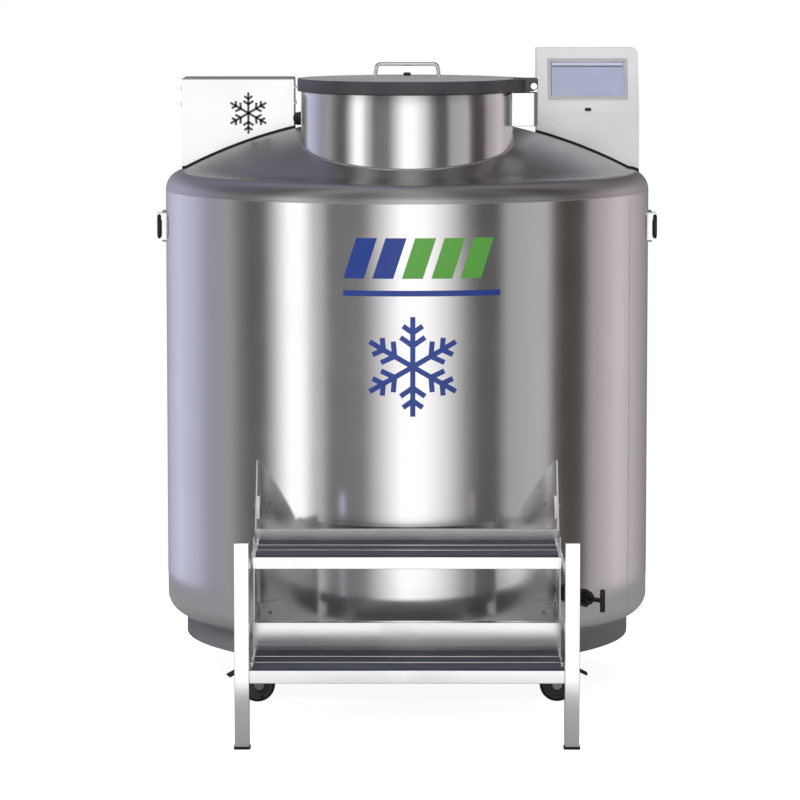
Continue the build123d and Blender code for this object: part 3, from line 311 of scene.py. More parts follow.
def spread(tree, source, low, high):
    """Maps a 0 to 1 value onto low to high."""
    made = node(tree, "ShaderNodeMapRange")
    fill(made, From_Min=0.25, From_Max=0.75, To_Min=low, To_Max=high)
    link(tree, source, made.inputs["Value"])
    return made.outputs["Result"]


def mix_colour(tree, factor, first, second):
    """Mixes two plain colours by a varying factor."""
    made = node(tree, "ShaderNodeMix", data_type="RGBA")
    picked = [s for s in made.inputs if s.name in ("A", "B") and s.type == "RGBA"]
    picked[0].default_value = first
    picked[1].default_value = second
    link(tree, factor, made.inputs[0])
    return [s for s in made.outputs if s.type == "RGBA"][0]


def bump(tree, shader, height, strength, distance):
    made = node(tree, "ShaderNodeBump")
    fill(made, Strength=strength, Distance=distance)
    link(tree, height, made.inputs["Height"])
    link(tree, made.outputs["Normal"], shader.inputs["Normal"])


def steel(name, light, dark, rough, stretch, scale=900.0, strength=0.10, marks=0.25):
    """Stainless steel with a brushed grain, patchy polish and handling marks."""
    material, tree, shader = material_start(name, light, 1.0, rough[0])
    grain = use_group(tree, GRAIN, Stretch=stretch, Scale=scale)
    handled = use_group(tree, HANDLING, Amount=marks)
    link(tree, mix_colour(tree, grain.outputs["Variation"], dark, light), shader.inputs["Base Color"])
    patch = spread(tree, grain.outputs["Variation"], rough[0], rough[1])
    added = node(tree, "ShaderNodeMath", operation="MULTIPLY_ADD", in_1=0.25)
    link(tree, handled.outputs["Mask"], added.inputs[0])
    link(tree, patch, added.inputs[2])
    link(tree, added.outputs[0], shader.inputs["Roughness"])
    bump(tree, shader, grain.outputs["Height"], strength, 0.0002)
    return material


def moulded(name, base, worn, rough, scale=700.0, strength=0.15, metallic=0.0):
    """Moulded plastic, rubber, paint or a casting: fine skin, slow colour change and dust specks."""
    material, tree, shader = material_start(name, base, metallic, rough[0])
    skin = use_group(tree, MOULDING, Scale=scale)
    handled = use_group(tree, HANDLING, Amount=0.5)
    both = node(tree, "ShaderNodeMath", operation="MULTIPLY_ADD", in_1=0.6)
    link(tree, handled.outputs["Specks"], both.inputs[0])
    link(tree, handled.outputs["Mask"], both.inputs[2])
    link(tree, mix_colour(tree, both.outputs[0], base, worn), shader.inputs["Base Color"])
    link(tree, spread(tree, skin.outputs["Variation"], *rough), shader.inputs["Roughness"])
    bump(tree, shader, skin.outputs["Height"], strength, 0.0004)
    return material


def display_glass():
    """The controller's pale glossy display with a faint clear coat and finger smears."""
    material, tree, shader = material_start("display_glass", tint(148, 152, 180), 0.0, 0.18)
    fill(shader, Coat_Weight=0.6, Coat_Roughness=0.05)
    handled = use_group(tree, HANDLING, Scale=14.0, Amount=0.8)
    colour = mix_colour(tree, handled.outputs["Mask"], tint(164, 170, 196), tint(178, 183, 205))
    link(tree, colour, shader.inputs["Base Color"])
    link(tree, spread(tree, handled.outputs["Mask"], 0.12, 0.3), shader.inputs["Roughness"])
    return material


# How much a grain is squeezed along each axis: a small share draws it out into long lines.
VERTICAL = (1.0, 1.0, 0.035)
LEVEL = (0.05, 0.05, 1.0)
ACROSS = (0.04, 1.0, 1.0)
EVEN = (1.0, 1.0, 1.0)
MATERIALS = {
    "polished_steel": steel("polished_steel", (0.88, 0.86, 0.865, 1), (0.81, 0.785, 0.795, 1),
                            (0.11, 0.16), LEVEL, 700.0, 0.05, 0.15),
    "neck_steel": steel("neck_steel", (0.86, 0.845, 0.845, 1), (0.80, 0.78, 0.785, 1),
                        (0.12, 0.17), LEVEL, 700.0, 0.05, 0.15),
    "sheet_steel": steel("sheet_steel", (0.89, 0.89, 0.895, 1), (0.83, 0.83, 0.835, 1),
                         (0.14, 0.22), ACROSS, 800.0, 0.08, 0.2),
    "tank_steel": steel("tank_steel", (0.72, 0.72, 0.73, 1), (0.62, 0.62, 0.63, 1),
                        (0.30, 0.42), VERTICAL, 500.0, 0.15, 0.4),
    "handle_steel": steel("handle_steel", (0.90, 0.89, 0.88, 1), (0.84, 0.83, 0.82, 1),
                          (0.10, 0.16), VERTICAL, 900.0, 0.04, 0.2),
    "zinc_steel": steel("zinc_steel", (0.62, 0.62, 0.61, 1), (0.48, 0.48, 0.48, 1),
                        (0.30, 0.42), EVEN, 120.0, 0.1, 0.5),
    "aluminium": steel("aluminium", (0.80, 0.80, 0.81, 1), (0.72, 0.72, 0.73, 1),
                       (0.32, 0.44), (1, 0.05, 1), 600.0, 0.12, 0.4),
    "brass_fitting": steel("brass_fitting", (0.78, 0.58, 0.30, 1), (0.60, 0.42, 0.20, 1),
                           (0.22, 0.34), EVEN, 300.0, 0.08, 0.5),
    "base_paint": moulded(
        "base_paint", tint(150, 146, 151), tint(130, 126, 130), (0.42, 0.55), 900.0, 0.10
    ),
    "insulation": steel("insulation", (0.82, 0.82, 0.84, 1), (0.70, 0.70, 0.73, 1),
                        (0.25, 0.5), (1, 1, 0.3), 60.0, 0.9, 0.4),
    "glass_fibre": moulded(
        "glass_fibre", tint(150, 160, 110), tint(120, 130, 90), (0.45, 0.6), 400.0, 0.3
    ),
    "lid_black": moulded(
        "lid_black", tint(66, 66, 71), tint(92, 92, 97), (0.34, 0.48), 900.0, 0.12
    ),
    "lid_grey": moulded(
        "lid_grey", tint(146, 146, 150), tint(162, 162, 165), (0.36, 0.48), 800.0, 0.12
    ),
    "foam": moulded("plug_foam", tint(222, 214, 196), tint(196, 184, 160), (0.7, 0.9), 260.0, 0.5),
    "seal_rubber": moulded(
        "seal_rubber", tint(30, 29, 30), tint(60, 58, 58), (0.6, 0.8), 600.0, 0.2
    ),
    "screen_panel": display_glass(),
    "black_plastic": moulded(
        "black_plastic", tint(34, 34, 37), tint(58, 58, 62), (0.4, 0.55), 800.0, 0.15
    ),
    "dark_metal": moulded(
        "dark_metal", tint(66, 60, 56), tint(110, 102, 96), (0.38, 0.6), 500.0, 0.4, 0.8
    ),
    "tyre_black": moulded(
        "tyre_black", tint(28, 28, 30), tint(70, 68, 66), (0.55, 0.75), 500.0, 0.25
    ),
    "grip_black": moulded(
        "grip_black", tint(72, 76, 84), tint(96, 100, 108), (0.65, 0.85), 1400.0, 0.9
    ),
}
CONTROLLER_STEEL = moulded(
    "controller_steel", tint(240, 240, 243), tint(228, 228, 231), (0.34, 0.46), 900.0, 0.05, 0.35
)
# Painted shade: a darker copy of the shell's steel for the top head, for the shade on the
# upward-facing dome; it is also rougher.
DOME_STEEL_PAINTED_SHADE = steel(
    "dome_steel_painted_shade", (0.64, 0.625, 0.62, 1), (0.56, 0.545, 0.54, 1),
    (0.30, 0.38), LEVEL, 700.0, 0.05, 0.2
)
LEG_STEEL = steel(
    "leg_steel", (0.97, 0.97, 0.975, 1), (0.93, 0.93, 0.935, 1),
    (0.10, 0.16), VERTICAL, 700.0, 0.06, 0.2
)
HUB_GREY = moulded("hub_grey", tint(70, 70, 73), tint(96, 96, 98), (0.4, 0.55), 700.0, 0.15)
MARK_BLUE = moulded("mark_blue", tint(40, 66, 148), tint(52, 80, 160), (0.3, 0.4), 900.0, 0.03)
MARK_GREEN = moulded("mark_green", tint(96, 172, 70), tint(108, 182, 84), (0.3, 0.4), 900.0, 0.03)
MARK_GREY = moulded("mark_grey", tint(86, 84, 88), tint(96, 94, 98), (0.35, 0.45), 900.0, 0.03)
# Painted shade: dark colour for the shade inside the display's recessed window.
SCREEN_PAINTED_SHADE = moulded("screen_painted_shade", tint(84, 88, 112), tint(96, 100, 122), (0.2, 0.3), 900.0, 0.02)
SCREEN_LIGHT = moulded(
    "screen_light", tint(196, 199, 216), tint(204, 207, 222), (0.2, 0.3), 900.0, 0.02
)
WELD_STEEL = steel(
    "weld_steel", (0.74, 0.72, 0.71, 1), (0.55, 0.52, 0.50, 1), (0.25, 0.38), EVEN, 200.0, 0.2
)


# ---------- mesh helpers

def link_piece(name, mesh, body, replaced=()):
    """Puts a finished mesh in the scene, riding on a body and standing for CAD nodes."""
    piece = bpy.data.objects.new(name, mesh)
    bpy.context.scene.collection.objects.link(piece)
    if replaced:
        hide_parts(*replaced)
    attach(piece, body)
    return piece


def smooth(mesh, angle=35.0):
    """Smooth shading with sharp edges past an angle."""
    if "custom_normal" in mesh.attributes:
        mesh.attributes.remove(mesh.attributes["custom_normal"])
    mesh.shade_smooth()
    mesh.set_sharp_from_angle(angle=math.radians(angle))


def welded(node_name, flat=1.0):
    """A copy of a CAD node's mesh with its corners joined and its flat faces made whole."""
    mesh = frame["nodes"][node_name].data.copy()
    work = bmesh.new()
    work.from_mesh(mesh)
    bmesh.ops.remove_doubles(work, verts=work.verts, dist=JOIN_WITHIN)
    edges = [e for e in work.edges if len(e.link_faces) == 2]
    bmesh.ops.dissolve_limit(
        work, angle_limit=math.radians(flat), verts=work.verts, edges=edges,
        use_dissolve_boundaries=False,
    )
    work.to_mesh(mesh)
    work.free()
    return mesh


def finished(node_name, width=0.0, segments=2, angle=35.0, material=None):
    """A CAD node's shape with its edges rounded to a real radius, in its place."""
    mesh = welded(node_name)
    mesh.materials.clear()
    mesh.materials.append(material or MATERIALS[SLOT_OF[node_name]])
    smooth(mesh, angle)
    piece = link_piece(
        f"{node_name}_finished", mesh, BODY_OF[node_name], [node_name]
    )
    if width:
        rounded = piece.modifiers.new("rounded_edges", "BEVEL")
        rounded.width = width
        rounded.segments = segments
        rounded.limit_method = "ANGLE"
        rounded.angle_limit = math.radians(angle)
        rounded.use_clamp_overlap = True
        rounded.harden_normals = False
    return piece


def lathe(name, profile, centre, material, turns=TURNS):
    """Mesh turned about an upright axis, from a closed or axis-to-axis (radius, height) profile."""
    mesh = bpy.data.meshes.new(name)
    work = bmesh.new()
    rings = []
    for radius, height in profile:
        if radius < 1e-6:
            rings.append([work.verts.new((centre[0], centre[1], height))])
            continue
        ring = []
        for step in range(turns):
            angle = 2 * math.pi * step / turns
            ring.append(work.verts.new((
                centre[0] + radius * math.cos(angle), centre[1] + radius * math.sin(angle), height
            )))
        rings.append(ring)
    closed = len(rings[0]) > 1 and len(rings[-1]) > 1
    pairs = list(zip(rings, rings[1:])) + ([(rings[-1], rings[0])] if closed else [])
    for low, high in pairs:
        for step in range(turns):
            after = (step + 1) % turns
            corners = [
                low[step % len(low)], low[after % len(low)],
                high[after % len(high)], high[step % len(high)],
            ]
            unique = list(dict.fromkeys(corners))
            if len(unique) > 2:
                work.faces.new(unique)
    bmesh.ops.recalc_face_normals(work, faces=work.faces)
    work.to_mesh(mesh)
    work.free()
    mesh.materials.append(material)
    smooth(mesh)
    return mesh


def arc(centre, radius, start, end, steps):
    """Points of an arc in a lathe profile; angles in degrees from straight out."""
    return [
        (
            centre[0] + radius * math.cos(math.radians(start + (end - start) * k / steps)),
            centre[1] + radius * math.sin(math.radians(start + (end - start) * k / steps)),
        )
        for k in range(steps + 1)
    ]


def crown_centre():
    """Height of the centre of the dome's crown."""
    corner = SHELL_R - KNUCKLE
    return SHELL_SEAM + KNUCKLE - math.sqrt(CROWN**2 - corner**2)


def dome_height(distance):
    """Height of the dome at a distance from the vessel's axis."""
    return crown_centre() + math.sqrt(CROWN**2 - distance**2)


def head_outline(inset, steps):
    """Shoulder and crown of the top head, from the seam to the axis, moved in by inset."""
    corner = SHELL_R - KNUCKLE
    centre = crown_centre()
    up = SHELL_SEAM - centre
    apart = math.hypot(corner, up)
    along = ((CROWN - inset) ** 2 - (KNUCKLE - inset) ** 2 + apart**2) / (2 * apart)
    aside = math.sqrt((CROWN - inset) ** 2 - along**2)
    crease = ((corner * along - up * aside) / apart, centre + (up * along + corner * aside) / apart)
    turn = math.degrees(math.atan2(crease[1] - SHELL_SEAM, crease[0] - corner))
    start = math.degrees(math.atan2(crease[1] - centre, crease[0]))
    shoulder = arc((corner, SHELL_SEAM), KNUCKLE - inset, 0, turn, steps)
    crown = arc((0, centre), CROWN - inset, start, 90, 2 * steps)
    return shoulder, crown


def cut_round(mesh, centre, radius, low, high):
    """Cuts a vertical round hole through a mesh."""
    outline = [(0, low), (radius, low), (radius, high), (0, high)]
    cutter_mesh = lathe("cutter", outline, centre, None)
    cutter = bpy.data.objects.new("cutter", cutter_mesh)
    target = bpy.data.objects.new("target", mesh)
    for obj in (cutter, target):
        bpy.context.scene.collection.objects.link(obj)
    cut = target.modifiers.new("cut", "BOOLEAN")
    cut.operation = "DIFFERENCE"
    cut.solver = "EXACT"
    cut.object = cutter
    bpy.context.view_layer.update()
    graph = bpy.context.evaluated_depsgraph_get()
    result = bpy.data.meshes.new_from_object(target.evaluated_get(graph))
    for obj in (cutter, target):
        bpy.data.objects.remove(obj)
    smooth(result)
    return result


# ---------- Geometry Nodes helpers

def geometry_tree(name, inputs):
    """An empty Geometry Nodes tree with a geometry in and out and named inputs."""
    tree = bpy.data.node_groups.new(name, "GeometryNodeTree")
    tree.interface.new_socket("Geometry", in_out="INPUT", socket_type="NodeSocketGeometry")
    for label, kind in inputs:
        tree.interface.new_socket(label, in_out="INPUT", socket_type=kind)
    tree.interface.new_socket("Geometry", in_out="OUTPUT", socket_type="NodeSocketGeometry")
    return tree, tree.nodes.new("NodeGroupInput"), tree.nodes.new("NodeGroupOutput")


def run_tree(name, tree, values, carrier_mesh):
    """Runs a tree on a carrier mesh and returns the plain mesh that it makes."""
    carrier = bpy.data.objects.new(name, carrier_mesh)
    bpy.context.scene.collection.objects.link(carrier)
    modifier = carrier.modifiers.new("build", "NODES")
    modifier.node_group = tree
    for item in tree.interface.items_tree:
        if item.in_out == "INPUT" and item.name in values:
            modifier[item.identifier] = values[item.name]
    bpy.context.view_layer.update()
    graph = bpy.context.evaluated_depsgraph_get()
    made = bpy.data.meshes.new_from_object(carrier.evaluated_get(graph))
    bpy.data.objects.remove(carrier)
    return made


def end_tree(tree, geometry, end, start):
    """Closes a tree with Realize Instances and Set Material."""
    real = tree.nodes.new("GeometryNodeRealizeInstances")
    paint = tree.nodes.new("GeometryNodeSetMaterial")
    link(tree, geometry, real.inputs[0])
    link(tree, real.outputs[0], paint.inputs["Geometry"])
    link(tree, start.outputs["Material"], paint.inputs["Material"])
    link(tree, paint.outputs[0], end.inputs[0])


def spaced_points(tree, start):
    """The carrier's edges as a line with a point at every spacing."""
    path = tree.nodes.new("GeometryNodeMeshToCurve")
    evenly = tree.nodes.new("GeometryNodeResampleCurve")
    evenly.mode = "LENGTH"
    link(tree, start.outputs["Geometry"], path.inputs[0])
    link(tree, path.outputs[0], evenly.inputs["Curve"])
    link(tree, start.outputs["Spacing"], evenly.inputs["Length"])
    return evenly


def place_on_points(tree, points, shape, rotation):
    """Stands a shape on each point with a rotation."""
    place = tree.nodes.new("GeometryNodeInstanceOnPoints")
    link(tree, points, place.inputs["Points"])
    link(tree, shape, place.inputs["Instance"])
    link(tree, rotation, place.inputs["Rotation"])
    return place


def make_bead_tree():
    """Weld bead: flat scales set along the edges of the carrier mesh, facing along its normals."""
    tree, start, end = geometry_tree("weld_bead", [
        ("Spacing", "NodeSocketFloat"), ("Half Width", "NodeSocketFloat"),
        ("Rise", "NodeSocketFloat"), ("Material", "NodeSocketMaterial"),
    ])
    evenly = spaced_points(tree, start)
    scale_shape = node(tree, "GeometryNodeMeshIcoSphere")
    fill(scale_shape, Radius=1.0, Subdivisions=2)
    tangent = tree.nodes.new("GeometryNodeInputTangent")
    turn = node(tree, "FunctionNodeAlignRotationToVector", axis="X")
    link(tree, tangent.outputs[0], turn.inputs["Vector"])
    position = tree.nodes.new("GeometryNodeInputPosition")
    flat_out = node(tree, "ShaderNodeVectorMath", operation="MULTIPLY", in_1=(1.0, 1.0, 0.0))
    link(tree, position.outputs[0], flat_out.inputs[0])
    turn_out = node(tree, "FunctionNodeAlignRotationToVector", axis="Z", pivot_axis="X")
    link(tree, turn.outputs[0], turn_out.inputs["Rotation"])
    link(tree, flat_out.outputs[0], turn_out.inputs["Vector"])
    size = tree.nodes.new("ShaderNodeCombineXYZ")
    longer = node(tree, "ShaderNodeMath", operation="MULTIPLY", in_1=1.1)
    link(tree, start.outputs["Spacing"], longer.inputs[0])
    link(tree, longer.outputs[0], size.inputs[0])
    link(tree, start.outputs["Half Width"], size.inputs[1])
    link(tree, start.outputs["Rise"], size.inputs[2])
    place = place_on_points(
        tree, evenly.outputs[0], scale_shape.outputs["Mesh"], turn_out.outputs[0]
    )
    link(tree, size.outputs[0], place.inputs["Scale"])
    end_tree(tree, place.outputs[0], end, start)
    return tree


def make_screw_tree():
    """Pan-head screws with a hexagon socket, one on each carrier point, facing its normal."""
    tree, start, end = geometry_tree("cap_screws", [
        ("Head Radius", "NodeSocketFloat"), ("Head Height", "NodeSocketFloat"),
        ("Material", "NodeSocketMaterial"),
    ])
    head = node(tree, "GeometryNodeMeshCylinder")
    fill(head, Vertices=24)
    link(tree, start.outputs["Head Radius"], head.inputs["Radius"])
    link(tree, start.outputs["Head Height"], head.inputs["Depth"])
    half = node(tree, "ShaderNodeMath", operation="MULTIPLY", in_1=0.5)
    link(tree, start.outputs["Head Height"], half.inputs[0])
    lift = tree.nodes.new("ShaderNodeCombineXYZ")
    link(tree, half.outputs[0], lift.inputs[2])
    raised = tree.nodes.new("GeometryNodeTransform")
    link(tree, head.outputs["Mesh"], raised.inputs[0])
    link(tree, lift.outputs[0], raised.inputs["Translation"])
    socket = node(tree, "GeometryNodeMeshCylinder")
    fill(socket, Vertices=6)
    narrow = node(tree, "ShaderNodeMath", operation="MULTIPLY", in_1=0.5)
    link(tree, start.outputs["Head Radius"], narrow.inputs[0])
    link(tree, narrow.outputs[0], socket.inputs["Radius"])
    link(tree, start.outputs["Head Height"], socket.inputs["Depth"])
    high = tree.nodes.new("ShaderNodeCombineXYZ")
    link(tree, start.outputs["Head Height"], high.inputs[2])
    sunk = tree.nodes.new("GeometryNodeTransform")
    link(tree, socket.outputs["Mesh"], sunk.inputs[0])
    link(tree, high.outputs[0], sunk.inputs["Translation"])
    cut = node(tree, "GeometryNodeMeshBoolean", operation="DIFFERENCE")
    link(tree, raised.outputs[0], cut.inputs["Mesh 1"])
    link(tree, sunk.outputs[0], cut.inputs["Mesh 2"])
    normal = tree.nodes.new("GeometryNodeInputNormal")
    turn = node(tree, "FunctionNodeAlignRotationToVector", axis="Z")
    link(tree, normal.outputs[0], turn.inputs["Vector"])
    place = place_on_points(tree, start.outputs["Geometry"], cut.outputs[0], turn.outputs[0])
    end_tree(tree, place.outputs[0], end, start)
    return tree


def make_ring_tree():
    """Corrugated sleeve: rings set along the carrier's edge, square to it."""
    tree, start, end = geometry_tree("corrugated_sleeve", [
        ("Spacing", "NodeSocketFloat"), ("Radius", "NodeSocketFloat"),
        ("Bead", "NodeSocketFloat"), ("Material", "NodeSocketMaterial"),
    ])
    evenly = spaced_points(tree, start)
    ring = node(tree, "GeometryNodeCurvePrimitiveCircle")
    fill(ring, Resolution=32)
    link(tree, start.outputs["Radius"], ring.inputs["Radius"])
    bead = node(tree, "GeometryNodeCurvePrimitiveCircle")
    fill(bead, Resolution=8)
    link(tree, start.outputs["Bead"], bead.inputs["Radius"])
    solid = tree.nodes.new("GeometryNodeCurveToMesh")
    link(tree, ring.outputs["Curve"], solid.inputs["Curve"])
    link(tree, bead.outputs["Curve"], solid.inputs["Profile Curve"])
    tangent = tree.nodes.new("GeometryNodeInputTangent")
    turn = node(tree, "FunctionNodeAlignRotationToVector", axis="Z")
    link(tree, tangent.outputs[0], turn.inputs["Vector"])
    place = place_on_points(tree, evenly.outputs[0], solid.outputs["Mesh"], turn.outputs[0])
    end_tree(tree, place.outputs[0], end, start)
    return tree


def wire_mesh(name, chains):
    """A mesh of edges only, from lists of points; a chain whose ends meet is closed."""
    mesh = bpy.data.meshes.new(name)
    points, edges = [], []
    for chain in chains:
        first = len(points)
        closed = (Vector(chain[0]) - Vector(chain[-1])).length < 1e-6
        kept = chain[:-1] if closed else chain
        points += [tuple(p) for p in kept]
        edges += [(first + k, first + k + 1) for k in range(len(kept) - 1)]
        if closed:
            edges.append((first + len(kept) - 1, first))
    mesh.from_pydata(points, edges, [])
    return mesh


def stud_mesh(name, places):
    """Tiny triangles, one for each (point, direction), whose first corner carries a screw."""
    mesh = bpy.data.meshes.new(name)
    points, faces = [], []
    for spot, way in places:
        side = Vector(way).orthogonal().normalized() * 1e-5
        other = Vector(way).cross(side)
        first = len(points)
        points += [Vector(spot), Vector(spot) + side, Vector(spot) + other]
        faces.append((first, first + 1, first + 2))
    mesh.from_pydata([tuple(p) for p in points], [], faces)
    return mesh


BEADS = make_bead_tree()
SCREWS = make_screw_tree()
RINGS = make_ring_tree()


# ---------- jacket and neck

def build_jacket():
    """Shell and top head turned as smooth walls, with the neck's hole cut through the head; the head
    takes a darker steel as painted shade.
    """
    steps = 10
    corner = SHELL_R - KNUCKLE
    low = SHELL_BOTTOM + KNUCKLE
    inner_r = SHELL_R - SHELL_WALL
    outer = [(0, SHELL_BOTTOM)] + arc((corner, low), KNUCKLE, -90, 0, steps)
    outer += [(SHELL_R, low + (SHELL_SEAM - low) * k / 6) for k in range(1, 7)]
    inner = [(inner_r, SHELL_SEAM), (inner_r, low)]
    inner += arc((corner, low), KNUCKLE - SHELL_WALL, 0, -90, steps)[1:]
    inner += [(0, SHELL_BOTTOM + SHELL_WALL)]
    shell = lathe("outer_shell_turned", outer + inner, (0, 0), MATERIALS["polished_steel"])
    link_piece("outer_shell_turned", shell, "vessel", ["outer_shell"])

    shoulder, crown = head_outline(0.0, steps)
    shoulder_in, crown_in = head_outline(SHELL_WALL, steps)
    profile = [(0, crown_in[-1][1])] + crown_in[-2::-1] + shoulder_in[-2::-1]
    profile += shoulder + crown[1:-1] + [(0, crown[-1][1])]
    # The top head wears the darker steel that paints shade onto the dome.
    head = lathe("top_head_turned", profile, (0, 0), DOME_STEEL_PAINTED_SHADE)
    above_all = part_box("lid_rim")[1].z
    head = cut_round(head, (0, NECK_Y), NECK_R - NECK_WALL, 1.0, above_all)
    head.materials.clear()
    head.materials.append(DOME_STEEL_PAINTED_SHADE)
    link_piece("top_head_turned", head, "vessel", ["top_head"])


def neck_foot(angle, radius):
    """Height of the dome under a point of the neck."""
    x = radius * math.cos(angle)
    y = NECK_Y + radius * math.sin(angle)
    return dome_height(math.hypot(x, y))


def build_neck():
    """Collar with a rolled top edge, its foot shaped to the dome."""
    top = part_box("neck_sleeve")[1].z
    inner = NECK_R - NECK_WALL
    mesh = bpy.data.meshes.new("neck_sleeve_rolled")
    work = bmesh.new()
    columns = []
    for step in range(TURNS):
        angle = 2 * math.pi * step / TURNS
        line = [(inner, neck_foot(angle, inner)), (NECK_R, neck_foot(angle, NECK_R))]
        line += [(NECK_R, NECK_WAIST), (NECK_R, top - NECK_EDGE)]
        line += [(NECK_R - NECK_EDGE_CHAMFER, top - NECK_EDGE_CHAMFER), (NECK_R - NECK_EDGE, top)]
        line += [(BORE_R + NECK_EDGE, top), (BORE_R + NECK_EDGE_CHAMFER, top - NECK_EDGE_CHAMFER)]
        line += [(BORE_R, top - NECK_EDGE), (inner, top - NECK_EDGE)]
        columns.append([
            work.verts.new((r * math.cos(angle), NECK_Y + r * math.sin(angle), z)) for r, z in line
        ])
    for step in range(TURNS):
        here, after = columns[step], columns[(step + 1) % TURNS]
        for k in range(len(here)):
            n = (k + 1) % len(here)
            work.faces.new((here[k], after[k], after[n], here[n]))
    bmesh.ops.recalc_face_normals(work, faces=work.faces)
    work.to_mesh(mesh)
    work.free()
    mesh.materials.append(MATERIALS["neck_steel"])
    smooth(mesh)
    link_piece("neck_sleeve_rolled", mesh, "vessel", ["neck_sleeve"])


def build_welds():
    """Beads at the neck's foot and the base ring, and ground beads down the shell and at its seam."""
    around = [2 * math.pi * k / 180 for k in range(181)]
    foot = [
        (NECK_R * math.cos(a), NECK_Y + NECK_R * math.sin(a), neck_foot(a, NECK_R)) for a in around
    ]
    base_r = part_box("base_ring")[1].x
    base_z = SHELL_BOTTOM - BASE_BEAD_DROP
    base = [(base_r * math.cos(a), base_r * math.sin(a), base_z) for a in around]
    seam = [(SHELL_R * math.cos(a), SHELL_R * math.sin(a), SHELL_SEAM) for a in around]
    weld_angle = math.radians(SIDE_WELD_ANGLE)
    weld_x, weld_y = SHELL_R * math.cos(weld_angle), SHELL_R * math.sin(weld_angle)
    side = [
        (weld_x, weld_y, SHELL_BOTTOM + KNUCKLE + SIDE_WELD_STEP * k)
        for k in range(SIDE_WELD_POINTS)
    ]
    beads = {
        "neck_weld": ([foot], NECK_BEAD),
        "base_weld": ([base], BASE_BEAD),
        "seam_weld": ([seam, side], SEAM_BEAD),
    }
    for name, (chains, (spacing, half, rise)) in beads.items():
        mesh = run_tree(name, BEADS, {
            "Spacing": spacing, "Half Width": half, "Rise": rise, "Material": WELD_STEEL,
        }, wire_mesh(name, chains))
        mesh.shade_smooth()
        link_piece(name, mesh, "vessel")


# ---------- marks on the shell

def shell_patch(work, outline_rows, lift):
    """A grid of faces on the shell from rows of (distance round from the front, height)."""
    rows = []
    for row in outline_rows:
        line = []
        for across, height in row:
            angle = across / SHELL_R
            r = SHELL_R + lift
            line.append(work.verts.new((r * math.sin(angle), -r * math.cos(angle), height)))
        rows.append(line)
    for low, high in zip(rows, rows[1:]):
        for k in range(len(low) - 1):
            work.faces.new((low[k], low[k + 1], high[k + 1], high[k]))


def bar_rows(start, end, width, steps=14):
    """Rows of a straight bar between two (across, height) points."""
    a, b = Vector(start), Vector(end)
    side = (b - a).normalized().orthogonal() * width / 2
    return [[tuple(a.lerp(b, k / steps) + side * s) for k in range(steps + 1)] for s in (-1, 1)]


def pictogram_bars(centre, size, width):
    """Six-armed frost sign: each arm has two pairs of twigs."""
    bars = []
    for arm in range(6):
        way = Vector((math.cos(math.radians(60 * arm + 30)), math.sin(math.radians(60 * arm + 30))))
        start = Vector(centre)
        bars.append((start, start + way * size))
        for share, twig in TWIGS:
            root = start + way * size * share
            for turn in (-TWIG_ANGLE, TWIG_ANGLE):
                t = math.radians(turn)
                lean = Vector((
                    way.x * math.cos(t) - way.y * math.sin(t),
                    way.x * math.sin(t) + way.y * math.cos(t),
                ))
                bars.append((root, root + lean * size * twig))
    return [bar_rows(a, b, width, 6) for a, b in bars]


def printed(name, patches, material):
    """A flat mark that follows the shell's curve, just proud of it."""
    mesh = bpy.data.meshes.new(name)
    work = bmesh.new()
    for rows in patches:
        shell_patch(work, rows, MARK_LIFT)
    bmesh.ops.recalc_face_normals(work, faces=work.faces)
    for face in work.faces:
        out = Vector((face.calc_center_median().x, face.calc_center_median().y, 0))
        if face.normal.dot(out) < 0:
            face.normal_flip()
    work.to_mesh(mesh)
    work.free()
    mesh.materials.append(material)
    mesh.shade_smooth()
    link_piece(name, mesh, "vessel")


def build_box_sign():
    """Small dark frost sign on the plumbing box."""
    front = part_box("plumbing_box")[0].y - BOX_FROST_LIFT
    mesh = bpy.data.meshes.new("box_sign")
    work = bmesh.new()
    for rows in pictogram_bars(BOX_FROST_CENTRE, BOX_FROST_SIZE, BOX_FROST_BAR):
        (a, *_, b), (d, *_, c) = rows
        work.faces.new([work.verts.new((x, front, z)) for x, z in (a, b, c, d)])
    bmesh.ops.recalc_face_normals(work, faces=work.faces)
    for face in work.faces:
        if face.normal.y > 0:
            face.normal_flip()
    work.to_mesh(mesh)
    work.free()
    mesh.materials.append(MARK_GREY)
    link_piece("box_sign", mesh, "vessel")


def build_marks():
    """Generic frost sign, slanted colour bars and a line on the front of the shell."""
    printed("frost_sign", pictogram_bars(FROST_CENTRE, FROST_SIZE, FROST_BAR), MARK_BLUE)
    low, high = SLANT_HEIGHTS
    slants = []
    for number in range(5):
        left = SLANT_LEFT + SLANT_PITCH * number
        slants.append([
            [(left + SLANT_WIDTH * k / 4, low) for k in range(5)],
            [(left + SLANT_LEAN + SLANT_WIDTH * k / 4, high) for k in range(5)],
        ])
    printed("blue_slants", slants[:2], MARK_BLUE)
    printed("green_slants", slants[2:], MARK_GREEN)
    line = [[(SLANT_LEFT + LINE_LENGTH * k / 24, h) for k in range(25)] for h in LINE_HEIGHTS]
    printed("blue_line", [line], MARK_BLUE)


# ---------- lid

def build_lid():
    """Lid with a gently crowned cover."""
    finished("lid_rim", 0.0012, 3)
    low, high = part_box("lid_cover")
    radius = (high.x - low.x) / 2
    top, edge = high.z, high.z - COVER_RISE
    flat = radius - COVER_EDGE
    profile = [(0, low.z), (radius, low.z), (radius, edge - COVER_EDGE), (flat, edge)]
    for k in range(1, 13):
        r = flat * (1 - k / 12)
        profile.append((r, edge + (top - edge) * (1 - (r / radius) ** 2)))
    mesh = lathe("lid_cover_moulded", profile, (0, NECK_Y), MATERIALS["lid_grey"], 192)
    link_piece("lid_cover_moulded", mesh, "lid", ["lid_cover"])
    finished("lid_plug", 0.004, 3)
    finished("lid_seal", 0.0006)
    finished("lid_handle", 0.0, 2, 50)
    finished("lid_vent_cap", 0.0006)


# ---------- housings

